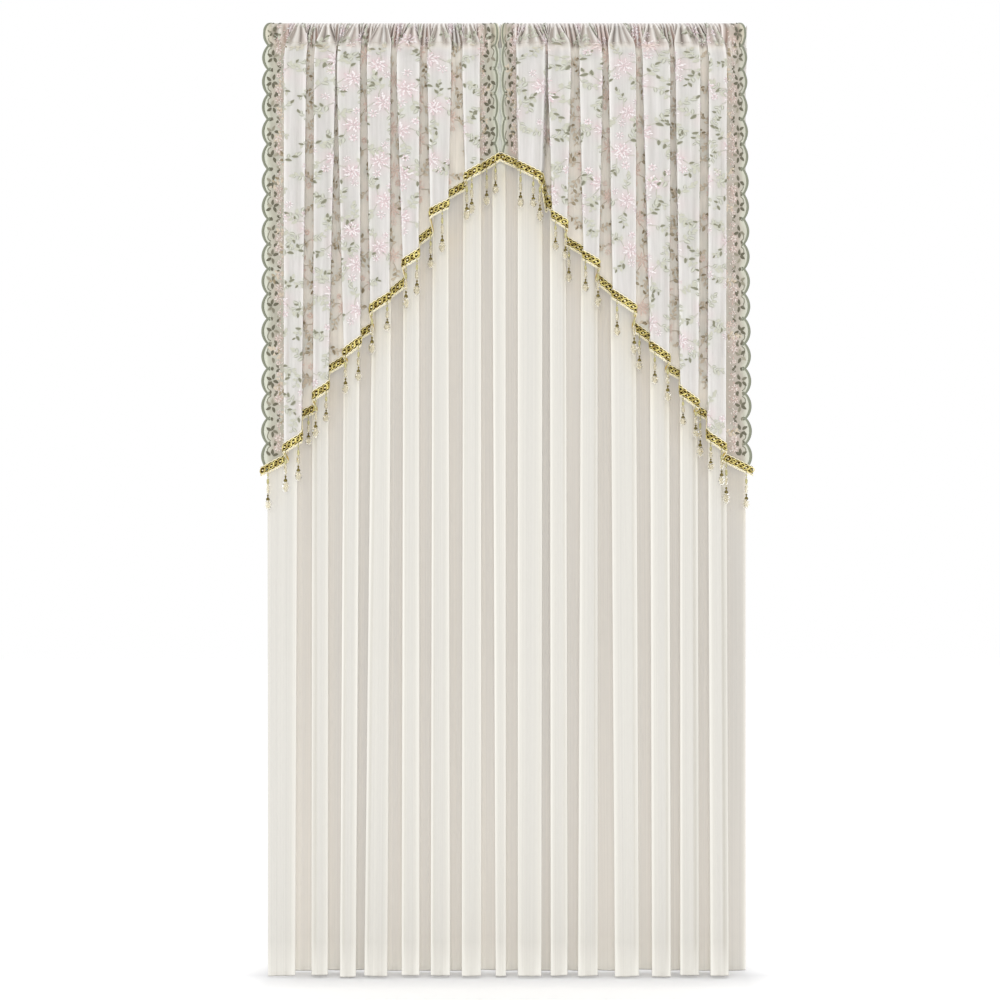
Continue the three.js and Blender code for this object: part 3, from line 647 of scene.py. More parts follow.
# %% Panel colour and density
IVORY_FRONT, RECESS_IVORY_LIGHTENED, IVORY_HEM_AND_HIGHLIGHT = srgb(201, 198, 190), srgb(214, 208, 198), srgb(232, 230, 223)
GOLD_GLEAM, PEAK_PAINTED_LIGHT = np.array([0.98, 0.945, 0.87]), srgb(250, 253, 242)
BRAID_TOP_Z, BRAID_SLOPE = -296.0, 1.31
CREASE_REACH, LINE_REACH, SIDE_REACH, CORNER_REACH, LIGHT_REACH, GLEAM_REACH = 8.0, 2.6, 4.0, 11.0, 130.0, 70.0
FOOT_PAINTED_LIGHT, CORNER_PAINTED_LIGHT, BRAID_PAINTED_LIGHT, LAST_RECESS_SHADE = 0.08, 0.16, 0.05, 0.26


def panel_colour(s, z, x, front_share):
    """Tint and density of the panel: painted highlights on the fold edges, brighter and denser lines on the hem and
    sides, recesses painted light against their shade, more in their corners, towards the foot and below the braid,
    the last recess painted in shade, a painted warm gleam that fades as a bell curve below the braid, and painted
    light behind the gap at the peak."""
    near_hem = smooth(-CURTAIN_DROP + HEM + 4, -CURTAIN_DROP + HEM - 1, z)
    near_side = bell(np.minimum(s, panel.width - s), SIDE_REACH)
    crease = panel.crease(s, CREASE_REACH)
    line = 0.35 * crease + 0.65 * panel.crease(s, LINE_REACH) + 0.6 * near_hem + 0.5 * near_side
    # The recess tint is a copy of the same ivory, painted light against the shade of the folds.
    tint = lerp(RECESS_IVORY_LIGHTENED, IVORY_FRONT, smooth(0.2, 0.9, front_share)[..., None])
    # Fold edges get a painted highlight in this tint; the hem and sides get it as well.
    tint = lerp(tint, IVORY_HEM_AND_HIGHLIGHT, np.clip(line, 0.0, 1.0)[..., None])
    shaded = smooth(0.9, 0.2, front_share) * smooth(-1300.0, -1950.0, z)
    in_corner = panel.near(panel.foot_s, s, CORNER_REACH) * smooth(0.6, 0.1, front_share)
    in_corner = in_corner * smooth(SEAM_Z, FOLDS_SET_Z, z)
    # The last recess is darkened by painted shade.
    last_recess = smooth(panel.foot_s[-1] - 6.0, panel.foot_s[-1] + 6.0, s) * (1.0 - near_side)
    below_braid = BRAID_TOP_Z - BRAID_SLOPE * np.abs(x - PEAK_X) - z
    starts = smooth(-40.0, 0.0, below_braid)
    # Painted light: recesses brightened towards the foot, in their corners and below the braid.
    painted_light = FOOT_PAINTED_LIGHT * shaded + CORNER_PAINTED_LIGHT * in_corner + BRAID_PAINTED_LIGHT * starts * bell(below_braid, LIGHT_REACH)
    tint = tint * (1.0 + painted_light - LAST_RECESS_SHADE * last_recess)[..., None]
    # A painted warm gleam from the gold, fading below the braid.
    tint = tint * lerp(np.ones(3), GOLD_GLEAM, (starts * bell(below_braid, GLEAM_REACH))[..., None])
    # Painted light: the panel behind the narrow gap between the overlays, lightened against their shade.
    between = smooth(16.0, 9.0, np.abs(x - PEAK_X)) * smooth(-300.0, -286.0, z)
    return lerp(tint, PEAK_PAINTED_LIGHT, between[..., None]), np.clip(crease + 0.8 * near_hem + 0.7 * near_side, 0.0, 1.0)


tint, body = panel_colour(s, z, points[..., 0], np.clip((PANEL_BACK_Y - points[..., 1]) / panel.depth, 0.0, 1.0))
panel_sheet = make_piece("panel_cloth", points, [grid_faces(*s.shape)], IVORY,
                         np.stack([s, flat_z], axis=-1), {"tint": tint, "body": body})
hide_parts("base_panel")

# %% [markdown]
# ## Rod pocket
#
# The top of the panel is turned over and stitched to make a pocket, and crowds on the rod into small uneven
# ruffles. A tube with a sine round it would look like a pipe; here the ruffles lean and vary, and both walls
# run down to one seam.

# %% Pocket
POCKET_COLUMNS, POCKET_AROUND = 820, 30
POCKET_INNER, POCKET_RUFFLE, WALL_PUFF, WALL_APART = 8.5, 8.9, 16.0, 0.7
FULLNESS, POCKET_FLAT, CLOTH_A_TURN = 2.2, 0.122, 30.0


def pocket_place(x, turn):
    """Pocket: round the crown with a ruffled radius for turn -1..1 from front to back, and straight down to the
    seam beyond; the ruffle is a squared sine of x with a wandering phase."""
    phase = math.pi * x / GATHER_PITCH + 1.1 * np.sin(x / 37.0) + 0.5 * np.sin(x / 11.0 + 2.0 * turn)
    radius = POCKET_INNER + POCKET_RUFFLE * np.sin(phase) ** 2
    angle = np.clip(turn, -1.0, 1.0) * math.pi / 2
    down = np.clip(np.abs(turn) - 1.0, 0.0, 1.0)
    puff = WALL_PUFF * down * (1.0 - down) * np.sin(phase) ** 2
    y = lerp(radius * np.sin(angle), seam_swing(x) + WALL_APART * np.sign(turn), down) + puff * np.sign(turn)
    z = lerp(CROWN_Z + radius * np.cos(angle), SEAM_Z, down)
    return np.stack([x + 0.0 * turn, y, z], axis=-1)


x, turn = np.meshgrid(np.linspace(POCKET_LEFT, POCKET_RIGHT, POCKET_COLUMNS), np.linspace(-2.0, 2.0, POCKET_AROUND))
points = pocket_place(x, turn)
# Ruffle ridges are painted brighter, a painted highlight, and made denser.
ridge = np.clip((np.hypot(points[..., 1], points[..., 2] - CROWN_Z) - POCKET_INNER) / POCKET_RUFFLE, 0.0, 1.0)
body = np.clip(0.25 + 0.6 * ridge ** 3, 0.0, 1.0)
pocket = make_piece("pocket_cloth", points, [grid_faces(*x.shape)], IVORY,
                    np.stack([x * FULLNESS, turn * CLOTH_A_TURN], axis=-1),
                    {"tint": lerp(IVORY_FRONT, IVORY_HEM_AND_HIGHLIGHT, body[..., None]), "body": body})
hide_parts("heading")

# %% [markdown]
# ## Embroidery plan
#
# The overlays are machine embroidered: sprays of small leaves on thin stems with ringed blossoms, and a richer
# border with a star of leaves in every scallop. A picture could be printed on the cloth, but thread has height
# and catches light. So each leaf, petal and stem is a low shape placed on the flat cloth by short tables, and one
# spray is repeated on a stepped lattice with its own turn and mirror, as embroidery machines do. Leaves sit on
# sprigs, splayed to both sides of a short stem.

# %% Tables of stitched shapes
SHAPE_COLUMNS = ("along", "across", "turn", "length", "width")
SPRIG_COLUMNS = ("along", "across", "turn", "length", "bend")


def shape_table(rows, columns=SHAPE_COLUMNS):
    """A table of stitched shapes or sprigs as one array per named column."""
    return dict(zip(columns, np.array(rows, float).T))


# Sprigs of one spray and of one scallop, each a short stem with its bend
SPRAY_SPRIGS = shape_table([
    [14, -10, -28, 36, 5], [-16, 11, 152, 34, -5], [10, 17, 62, 26, 4], [-10, -17, 236, 28, -4]], SPRIG_COLUMNS)
BORDER_SPRIGS = shape_table([[9, -24, 66, 26, -6], [14, 4, 70, 18, 5]], SPRIG_COLUMNS)
SPRAY_BLOSSOMS = shape_table([
    [0, 0, 20, 18, 3.0], [0, 0, 32, 13.5, 2.8], [0, 0, 75, 9, 2.5], [27, 13, 75, 8, 2.2], [-25, -9, 140, 9, 2.2]])
BORDER_BLOSSOMS = shape_table([[35, 15, 90, 9, 2.2], [36, -13, 60, 6, 2.0]])

# Leaves of one scallop: a star round its middle and single ones by the valley, and the white flecks beside it
STAR_TURNS, STAR_PLACE, STAR_EYE = np.radians([22, 84, 146, 214, 290]), 22.0, 2.4
STAR_LONG, STAR_WIDE = 12.5, 6.4
STAR_LEAVES = [[STAR_PLACE + STAR_EYE * math.cos(turn), STAR_EYE * math.sin(turn), math.degrees(turn),
                STAR_LONG, STAR_WIDE] for turn in STAR_TURNS]
BORDER_LEAVES = shape_table(STAR_LEAVES + [
    [27, 20, 62, 10, 5.4], [19, 21, 118, 9, 5.2], [31, -19, 318, 10, 5.2], [21, -22, 262, 8, 4.8]])
BORDER_FLECKS = shape_table([
    [35, -24, 40, 6, 2.6], [43, -18, 70, 6, 2.4], [37, -8, 60, 6, 2.6], [44, -4, 20, 6, 2.4], [39, 2, 110, 6, 2.6],
    [45, 8, 60, 6, 2.4], [32, 12, 95, 6, 2.6], [44, 20, 20, 6, 2.4], [38, 24, 130, 6, 2.6], [40, 13, 40, 6, 2.4]])
print("leaves in a scallop:", len(BORDER_LEAVES["along"]))

# %% Sprigs, with places, sides and sizes of their leaves
LEAF_PLACES, LEAF_SIDES = np.array([0.22, 0.4, 0.56, 0.74, 0.9, 1.0]), np.array([1, -1, 1, -1, 1, 0])
LEAF_LONG, LEAF_WIDE, LEAF_SPLAY = 11.4, 6.4, math.radians(55)


def sprig_stem(sprigs, share):
    """Stem of every sprig: a straight line along its turn with a half-sine bend to one side, and its direction."""
    turn, share = np.radians(sprigs["turn"])[:, None], share[None, :]
    forward, aside = sprigs["length"][:, None] * share, sprigs["bend"][:, None] * np.sin(math.pi * share)
    along, across = rotated(turn, forward, aside)
    return sprigs["along"][:, None] + along, sprigs["across"][:, None] + across, turn + 0.0 * share


def sprig_leaves(sprigs):
    """Leaves along the stems, splayed to both sides in turn, the last one straight on."""
    along, across, turn = sprig_stem(sprigs, LEAF_PLACES)
    uneven = np.sin(2.7 * np.arange(turn.size)).reshape(turn.shape)
    turn = turn + LEAF_SIDES * LEAF_SPLAY + 0.35 * uneven
    length = LEAF_LONG * (1.05 - 0.25 * LEAF_PLACES + 0.14 * uneven)
    rows = [along, across, np.degrees(turn), length, length * LEAF_WIDE / LEAF_LONG]
    return shape_table(np.stack([row.ravel() for row in rows], axis=1))


SPRAY_LEAVES = sprig_leaves(SPRAY_SPRIGS)
print("leaves in a spray:", len(SPRAY_LEAVES["along"]))

# %% Sprays over the cloth and shapes in the scallops
rng = np.random.default_rng(11)
SPRAY_ACROSS, SPRAY_DOWN, SPRAY_COLUMNS, SPRAY_ROWS = 66.0, 96.0, 16, 11
FIRST_S, FIRST_Z, WANDER_S, WANDER_Z = 20.0, -24.0, 12.0, 14.0
FULL_BORDER, SIDE_MARGIN, SPRAY_MARGIN = 48.0, 8.0, 34.0


def spray_places(cloth):
    """Centres on a lattice whose columns drop by quarters, with a little wander, and each spray's turn, size and
    mirror."""
    across, down = np.meshgrid(np.arange(float(SPRAY_COLUMNS)), np.arange(float(SPRAY_ROWS)))
    s = cloth.foot_s[0] + FIRST_S + across * SPRAY_ACROSS
    z = FIRST_Z - down * SPRAY_DOWN - (across % 4) * SPRAY_DOWN / 4
    s, z = s + rng.uniform(-WANDER_S, WANDER_S, s.shape), z + rng.uniform(-WANDER_Z, WANDER_Z, s.shape)
    keep = (s < cloth.foot_s[-1] - SIDE_MARGIN) & (z > edge_z(cloth, s) + SPRAY_MARGIN)
    count = keep.sum()
    turn = np.radians(90 + rng.uniform(-40, 40, count))
    return s[keep], z[keep], turn, rng.uniform(0.9, 1.12, count), rng.choice([-1.0, 1.0], count)


def on_sprays(places, table):
    """Every row of a table on every spray: rotate, mirror and scale, then move to the spray's centre."""
    s0, z0, turn, size, mirror = (value[:, None] for value in places)
    step_s, step_z = rotated(turn, table["along"] * size, table["across"] * size * mirror)
    heading = turn + np.radians(table["turn"]) * mirror
    return s0 + step_s, z0 + step_z, heading, table["length"] * size, table["width"] * size


def border_sides(cloth):
    """Start, inward direction, foot height and breadth of both scalloped borders."""
    start_z, end_z = edge_z(cloth, 0.0), edge_z(cloth, cloth.width)
    return ((0.0, 1.0, start_z, cloth.foot_s[0]), (cloth.width, -1.0, end_z, cloth.width - cloth.foot_s[-1]))


def on_border(cloth, table, wander_by=1.6):
    """Every row of a table in every scallop of both sides; along is inwards from the crest, across is down, and
    up in every second scallop."""
    blocks = []
    for start, inward, foot_z, breadth in border_sides(cloth):
        middle = -(np.arange(math.ceil(-foot_z / SCALLOP_PITCH)) + 0.5) * SCALLOP_PITCH
        wander = rng.uniform(-wander_by, wander_by, (len(middle), len(table["along"])))
        way = np.where(np.arange(len(middle)) % 2, -1.0, 1.0)[:, None]
        s = start + inward * (table["along"] * min(1.0, breadth / FULL_BORDER) + wander)
        z = middle[:, None] - way * table["across"] + wander[:, ::-1]
        turn = np.radians(table["turn"])
        heading = np.arctan2(-way * np.sin(turn), inward * np.cos(turn)) + wander * 0.1
        blocks.append([np.broadcast_to(v, s.shape).ravel() for v in (s, z, heading, table["length"], table["width"])])
    return [np.concatenate(parts) for parts in zip(*blocks)]


PLACES = {cloth.name: spray_places(cloth) for cloth in OVERLAYS}
print("sprays:", {name: len(places[0]) for name, places in PLACES.items()})

# %% [markdown]
# ## Overlays
#
# Each overlay is a wide trapezoid of voile, scalloped down both sides, gathered with the pocket and falling in
# broader folds than the panel. The scallops could be cut with a boolean, but then the border's cloth would
# lose its grid; instead the border columns are drawn in to the scalloped line. Around the embroidery the dyed
# ground blushes pink and pale green, and the border's ground is warmer and denser.

# %% Overlay shape
TOP_ANGLE, HEADING_FADE = 16.0, (-66.0, -44.0)
CROWN_ROWS, EDGE_ROWS = 8, 110


def scallop_inset(cloth, z):
    """How far both scalloped sides lie in from their crests: a fuller half sine between notches."""
    share = 1.0 - np.abs(np.sin(math.pi * z / SCALLOP_PITCH)) ** SCALLOP_FULLNESS
    return cloth.scallops[0] * share, cloth.scallops[1] * share


def drawn_in(cloth, s, z):
    """Columns of the two borders drawn in towards their inner ends, so the first and last follow the scallops."""
    start_inset, end_inset = scallop_inset(cloth, z)
    first, last = cloth.foot_s[0], cloth.foot_s[-1]
    s = s + start_inset * np.clip(1.0 - s / first, 0.0, 1.0)
    return s - end_inset * np.clip((s - last) / (cloth.width - last), 0.0, 1.0)


def overlay_rows(cloth):
    """Heights of every row and column: round the crown, down to the set of the folds, then fanned to the edge."""
    angles = np.radians(np.linspace(TOP_ANGLE, 90.0, CROWN_ROWS))
    crown = CROWN_Z + OVERLAY_RADIUS * np.cos(angles)
    forming = np.linspace(CROWN_Z, FOLDS_SET_Z, FORMING_ROWS)[1:]
    level = np.broadcast_to(np.concatenate([crown, forming])[:, None], (len(crown) + len(forming), len(cloth.s)))
    share = np.linspace(0.0, 1.0, EDGE_ROWS)[1:, None]
    return np.vstack([level, lerp(FOLDS_SET_Z, edge_z(cloth, cloth.s)[None, :], share)])


def overlay_front(cloth, points):
    """Share of the way from a recess to a front; the heading counts as front."""
    share = np.clip((cloth.back_y - points[..., 1]) / (cloth.depth - 2.0), 0.0, 1.0)
    return np.maximum(share, smooth(*HEADING_FADE, points[..., 2]))


print("rows and columns:", {cloth.name: overlay_rows(cloth).shape for cloth in OVERLAYS})

# %% Overlay colour and density
VOILE_TONE, VOILE_CREASE_HIGHLIGHT, RECESS_VOILE_LIGHTENED = srgb(219, 216, 214), srgb(240, 239, 236), srgb(255, 248, 236)
BLUSH, RECESS_BLUSH_PAINTED_LIGHT, SAGE, ROSE = srgb(228, 206, 208), srgb(250, 234, 222), srgb(215, 218, 208), srgb(206, 180, 171)
BORDER_TONES, RIM_GROUND = {"left": srgb(174, 172, 156), "right": srgb(167, 159, 147)}, srgb(208, 212, 195)
VALLEY_PAINTED_SHADE, WEDGE_SHADE_TAN, WEDGE_SHADE_ROSE = srgb(66, 47, 34), srgb(150, 128, 106), srgb(188, 142, 132)
WEDGE_TURN, WEDGE_START, HEADING_WARMTH = 30.0, 0.82, np.array([1.04, 0.965, 0.9])
BORDER_IN, BORDER_OUT, LEAF_GLOW, BLOSSOM_GLOW, ROSE_GLOW = 6.0, 8.0, 15.0, 20.0, 11.0


def glow(s, z, centres, reach):
    """Sum of soft round patches about the centres, each a bell curve of the distance, at most 1."""
    total = np.zeros_like(s)
    for centre_s, centre_z in zip(*centres):
        total += np.exp(-((s - centre_s) ** 2 + (z - centre_z) ** 2) / reach ** 2)
    return np.clip(total, 0.0, 1.0)


def heading_tint(s, z, tint, ridge, inside):
    """The gathers over a tint: painted shade as tan and rose wedges between them in turn and as dark valleys, and
    all a little warmer.
    """
    heading = smooth(*HEADING_FADE, z)
    between = np.clip((inside - WEDGE_START) / (1.0 - WEDGE_START), 0.0, 1.0) * heading
    wedge = lerp(WEDGE_SHADE_TAN, WEDGE_SHADE_ROSE, 0.5 + 0.5 * np.sin(s / WEDGE_TURN)[..., None])
    tint = lerp(tint, wedge, (between * lerp(0.3, 0.8, smooth(-8.0, -38.0, z)))[..., None])
    valley = (1.0 - ridge) ** 1.1 * np.sqrt(inside) * heading
    # Painted shade in the gathers' valleys and the wedges between them.
    tint = lerp(tint, VALLEY_PAINTED_SHADE, (0.97 * valley)[..., None])
    return tint * lerp(np.ones(3), HEADING_WARMTH, heading[..., None])


def overlay_tint(cloth, s, z, front_share):
    """Colour and density of the cloth: pale fronts, recesses painted light and warm against their shade, warmer
    borders, blushes by the blossoms, painted highlights on fold edges and gathers, and painted shade in the heading.
    """
    first, last = cloth.foot_s[0], cloth.foot_s[-1]
    border = np.maximum(smooth(first + BORDER_IN, first - BORDER_OUT, s),
                        smooth(last - BORDER_IN, last + BORDER_OUT, s))
    # The recess tint is painted light against the shade of the folds.
    tint = lerp(RECESS_VOILE_LIGHTENED, VOILE_TONE, smooth(0.05, 0.8, front_share)[..., None])
    tint = lerp(tint, BORDER_TONES[cloth.name], (border * 0.9)[..., None])
    blossoms = on_sprays(PLACES[cloth.name], SPRAY_BLOSSOMS)
    leaves = on_sprays(PLACES[cloth.name], SPRAY_LEAVES)
    roses = on_border(cloth, BORDER_BLOSSOMS)
    sprigs = leaves[0][:, 2::6].ravel(), leaves[1][:, 2::6].ravel()
    tint = lerp(tint, SAGE, 0.6 * glow(s, z, sprigs, LEAF_GLOW)[..., None])
    # The blush has a copy for the recesses, painted light.
    blush = lerp(RECESS_BLUSH_PAINTED_LIGHT, BLUSH, smooth(0.05, 0.8, front_share)[..., None])
    tint = lerp(tint, blush, 0.9 * glow(s, z, (blossoms[0][:, 0], blossoms[1][:, 0]), BLOSSOM_GLOW)[..., None])
    tint = lerp(tint, ROSE, 0.5 * glow(s, z, (roses[0][::2], roses[1][::2]), ROSE_GLOW)[..., None])
    start_inset, end_inset = scallop_inset(cloth, z)
    from_rim = np.minimum(s - start_inset, cloth.width - end_inset - s)
    tint = lerp(tint, RIM_GROUND, (0.85 * smooth(16.0, 6.0, from_rim))[..., None])
    ridge, inside = gathers(cloth, s)
    tint = heading_tint(s, z, tint, ridge, inside)
    # Fold edges and the gathers' ridges get a painted highlight, and more density.
    gathered = 1.2 * ridge ** 6 * inside * smooth(*HEADING_FADE, z)
    crease = np.maximum(cloth.crease(s, 3.0) * smooth(-30.0, -70.0, z), gathered)
    body = np.clip(0.25 + 0.5 * crease + 0.55 * border, 0.0, 1.0)
    return lerp(tint, VOILE_CREASE_HIGHLIGHT, np.clip(0.7 * crease, 0.0, 1.0)[..., None]), body


print("tones of the borders in linear light:", {name: np.round(tone, 2) for name, tone in BORDER_TONES.items()})

# %% Make the overlays
for cloth in OVERLAYS:
    z = overlay_rows(cloth)
    s = drawn_in(cloth, np.broadcast_to(cloth.s, z.shape), z)
    points = overlay_place(cloth, s, z)
    tint, body = overlay_tint(cloth, s, z, overlay_front(cloth, points))
    sheet = make_piece(f"overlay_cloth_{cloth.name}", points, [grid_faces(*z.shape)], EMBROIDERED,
                       np.stack([s, z], axis=-1), {"tint": tint, "body": body})
    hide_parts(f"overlay_{cloth.name}")

# %% [markdown]
# ## Leaves and blossoms
#
# Satin stitch fills a leaf with parallel threads over a little padding. Leaves could be flat patches of colour, or
# have every thread drawn; a small cushion with a pointed outline, and fine ribs in its material, takes the light
# as the stitches do with far fewer faces. Each thread colour has painted copies for the bright fronts and for the
# recesses, standing for the light there; the borders' thread is deeper.

# %% Stitched shapes
PADDING, CURVE, SHAPE_MARGIN, TOP_MARGIN = 0.9, 0.06, 19.0, -3.0


def stitched_shapes(cloth, s, z, heading, length, width, grid, blunt, full, lift):
    """Pointed cushions: half width is a sine of the length with its widest part set by `blunt` and its power by
    `full`, and the height falls off to the sides as a parabola. Returns flat places, points and the share along
    each shape."""
    along = np.linspace(0.0, 1.0, grid[0])[None, :, None]
    side = np.linspace(-1.0, 1.0, grid[1])[None, None, :]
    s, z, heading, length, width = (np.ravel(v)[:, None, None] for v in (s, z, heading, length, width))
    half = 0.5 * width * np.maximum(np.sin(math.pi * along ** blunt), 0.03) ** full
    step_s, step_z = rotated(heading, length * along, half * side + CURVE * length * np.sin(math.pi * along))
    flat_s, flat_z = s + step_s, z + step_z
    height = lift + PADDING * (1.0 - side ** 2) * np.sin(math.pi * np.clip(along, 0.04, 0.96))
    points = lifted(cloth, flat_s, np.minimum(flat_z, -0.6), height)
    return flat_s, flat_z, points, np.broadcast_to(along, flat_s.shape)


def shape_uv(flat_s, flat_z):
    """Cloth coordinates of the shapes."""
    return np.stack([flat_s, flat_z], axis=-1)


def is_on_cloth(cloth, s, z, heading, length):
    """True for shapes that lie above the braid and within the scalloped sides."""
    reach = z + np.minimum(length * np.sin(heading), 0.0)
    end = s + length * np.cos(heading)
    inside = (np.minimum(s, end) > SIDE_MARGIN) & (np.maximum(s, end) < cloth.width - SIDE_MARGIN)
    return inside & (reach > edge_z(cloth, s) + SHAPE_MARGIN) & (z < TOP_MARGIN)


def keep_on_cloth(cloth, shapes):
    """The shapes that lie on the cloth."""
    flat = [np.ravel(value) for value in shapes]
    keep = is_on_cloth(cloth, *flat[:4])
    return [value[keep] for value in flat]


for cloth in OVERLAYS:
    kept = keep_on_cloth(cloth, on_sprays(PLACES[cloth.name], SPRAY_LEAVES))
    print("spray leaves on the", cloth.name, "overlay:", len(kept[0]))

# %% Leaves
FRONT_LEAF_PAINTED_LIGHT, RECESS_LEAF_PAINTED_LIGHT, LEAF_BORDER = srgb(115, 114, 94), srgb(136, 123, 97), srgb(96, 93, 75)
FRONT_LEAF_EDGE_PAINTED_LIGHT, RECESS_LEAF_EDGE_PAINTED_LIGHT, BORDER_RIM = srgb(166, 167, 148), srgb(172, 160, 136), srgb(168, 163, 145)
FRONT_OPEN_PAINTED_LIGHT, FRONT_GHOST_PAINTED_LIGHT, RECESS_GHOST_PAINTED_LIGHT = srgb(196, 197, 185), srgb(186, 186, 171), srgb(202, 190, 171)
LEAF_GRID, BOLD_SHARE, OPEN_SHARE = (6, 5), 0.23, 0.55


def leaves_of(cloth):
    """All leaves of an overlay with their colours: bold ones with a dark middle, open ones with a dark outline,
    and ghosts a little deeper than the cloth, each blended between painted copies for front and recess light."""
    field = keep_on_cloth(cloth, on_sprays(PLACES[cloth.name], SPRAY_LEAVES))
    border = keep_on_cloth(cloth, on_border(cloth, BORDER_LEAVES))
    shapes = [np.concatenate(pair) for pair in zip(field, border)]
    flat_s, flat_z, points, _ = stitched_shapes(cloth, *shapes, LEAF_GRID, blunt=0.85, full=0.65, lift=0.5)
    front = smooth(0.1, 0.9, overlay_front(cloth, points)[..., None])
    chance = rng.uniform(size=len(points))[:, None, None, None]
    kind = chance * lerp(2.0, 1.0, front)
    side = np.abs(np.linspace(-1.0, 1.0, LEAF_GRID[1]))[None, None, :, None] ** 2
    # Front and recess copies of each thread colour: painted light, blended by how far the leaf lies on a front.
    middle, rim = lerp(RECESS_LEAF_PAINTED_LIGHT, FRONT_LEAF_PAINTED_LIGHT, front), lerp(RECESS_LEAF_EDGE_PAINTED_LIGHT, FRONT_LEAF_EDGE_PAINTED_LIGHT, front)
    bold = lerp(middle, rim, side)
    open_leaf = lerp(lerp(rim, FRONT_OPEN_PAINTED_LIGHT, front), lerp(middle, rim, 0.3), side)
    ghost = lerp(RECESS_GHOST_PAINTED_LIGHT, FRONT_GHOST_PAINTED_LIGHT, front) + 0.0 * side
    colour = np.where(kind < BOLD_SHARE, bold, np.where(kind < OPEN_SHARE, open_leaf, ghost))
    at_border = np.arange(len(points))[:, None, None, None] >= len(field[0])
    olive = lerp(LEAF_BORDER, BORDER_RIM, np.clip(0.4 * side + 2.2 * (chance - 0.66), 0.0, 1.0))
    return flat_s, flat_z, points, np.where(at_border, olive, colour)


print("faces in a leaf:", len(grid_faces(*LEAF_GRID)))

# %% Blossoms
PETAL_WHITE, PETAL_PINK, RECESS_PETAL_PAINTED_LIGHT = srgb(228, 223, 223), srgb(209, 189, 191), srgb(222, 200, 188)
ROSE_WHITE, ROSE_PINK = srgb(222, 213, 206), srgb(202, 178, 169)
PETAL_GRID, PETAL_LONG, PETALS = (5, 3), 7.0, 14


def petals_of(cloth):
    """All petals: each row of a blossom is a ring of short petals round its heading, white and pink in turn, and
    the flecks of the borders lie singly."""
    field = [np.ravel(value) for value in on_sprays(PLACES[cloth.name], SPRAY_BLOSSOMS)]
    rings = [np.concatenate(pair) for pair in zip(field, on_border(cloth, BORDER_BLOSSOMS))]
    fan = np.arange(PETALS)
    s, z, heading, length, width = (value[:, None] for value in rings)
    heading = heading + fan * 2 * math.pi / PETALS + 0.25 * np.sin(3.1 * fan + s)
    length = length * (0.88 + 0.12 * np.cos(2.6 * fan + z))
    start = np.maximum(0.2 * length, length - PETAL_LONG)
    at_border = np.arange(len(s))[:, None] >= len(field[0])
    shapes = (s + start * np.cos(heading), z + start * np.sin(heading), heading, length - start, width)
    shapes = [np.broadcast_to(value, heading.shape).ravel() for value in (*shapes, fan, at_border)]
    flecks = on_border(cloth, BORDER_FLECKS)
    shapes = [np.concatenate(pair) for pair in zip(shapes, (*flecks, np.arange(len(flecks[0])), flecks[0] * 0 + 1))]
    keep = is_on_cloth(cloth, *shapes[:4])
    shapes = [value[keep] for value in shapes]
    flat_s, flat_z, points, along = stitched_shapes(cloth, *shapes[:5], PETAL_GRID, blunt=1.1, full=0.7, lift=0.7)
    pink, by_rim = (value[:, None, None, None] for value in (shapes[5] % 3 == 0, shapes[6] > 0.5))
    colour = np.where(pink, PETAL_PINK, lerp(PETAL_PINK, PETAL_WHITE, smooth(0.0, 0.5, along)[..., None]))
    # The recess copy of the petal colours is painted light for the recesses.
    colour = lerp(RECESS_PETAL_PAINTED_LIGHT, colour, smooth(0.1, 0.9, overlay_front(cloth, points)[..., None]))
    return flat_s, flat_z, points, np.where(by_rim, np.where(pink, ROSE_PINK, ROSE_WHITE), colour)


print("faces in a ring of petals:", PETALS * len(grid_faces(*PETAL_GRID)))

# %% Make the leaves and blossoms
for cloth in OVERLAYS:
    for title, made in (("leaves", leaves_of(cloth)), ("blossoms", petals_of(cloth))):
        flat_s, flat_z, points, colour = made
        make_piece(f"{title}_{cloth.name}", points, [grid_faces(*points.shape[1:3], count=len(points))], THREAD,
                   shape_uv(flat_s, flat_z), {"tint": colour})

# %% [markdown]
# ## Cords laid on the cloth
#
# Stems, scallop rims, piping and the braid's interlaced cords are all threads couched onto the cloth. They could
# be curves with a round bevel, but those would stand off or sink where the cloth folds. So each is a line on the
# flat cloth with a small round or flattened section, one side along the cloth and one above it, and it follows
# every fold.

# %% A cord along a line on the flat cloth
def cords_on(cloth, s, z, half_width, height, lift, sides=6):
    """Cords from lines of shape (count, length) on the flat cloth: at angle a round the section, the point moves
    aside by half_width times cos a and up by height times sin a."""
    step_s, step_z = np.gradient(s, axis=-1), np.gradient(z, axis=-1)
    span = np.hypot(step_s, step_z) + 1e-9
    angle = np.linspace(0.0, 2 * math.pi, sides, endpoint=False)
    aside = np.broadcast_to(half_width, s.shape)[..., None] * np.cos(angle)
    up = lift + np.broadcast_to(height, s.shape)[..., None] * np.sin(angle)
    flat_s = s[..., None] - (step_z / span)[..., None] * aside
    flat_z = z[..., None] + (step_s / span)[..., None] * aside
    faces = [grid_faces(s.shape[1], sides, wrap=True, count=len(s)), cap_faces(s.shape[1], sides, count=len(s))]
    return lifted(cloth, flat_s, np.minimum(flat_z, -0.4), up), faces, shape_uv(flat_s, flat_z)


sample = cords_on(OVERLAYS[0], np.linspace(100.0, 110.0, 3)[None], np.full((1, 3), -400.0), 0.8, 0.5, 0.4)
print("points of a short cord:", sample[0].shape)

# %% Lines of the stems and scallop rims
STEM_POINTS, STEM_MARGIN, RIM_POINTS, RIM_PAST = 9, 18.0, 25, 0.07
RIM_INSETS, RIM_WIDTHS = {True: 1.6, False: 4.6}, {True: 2.9, False: 2.1}


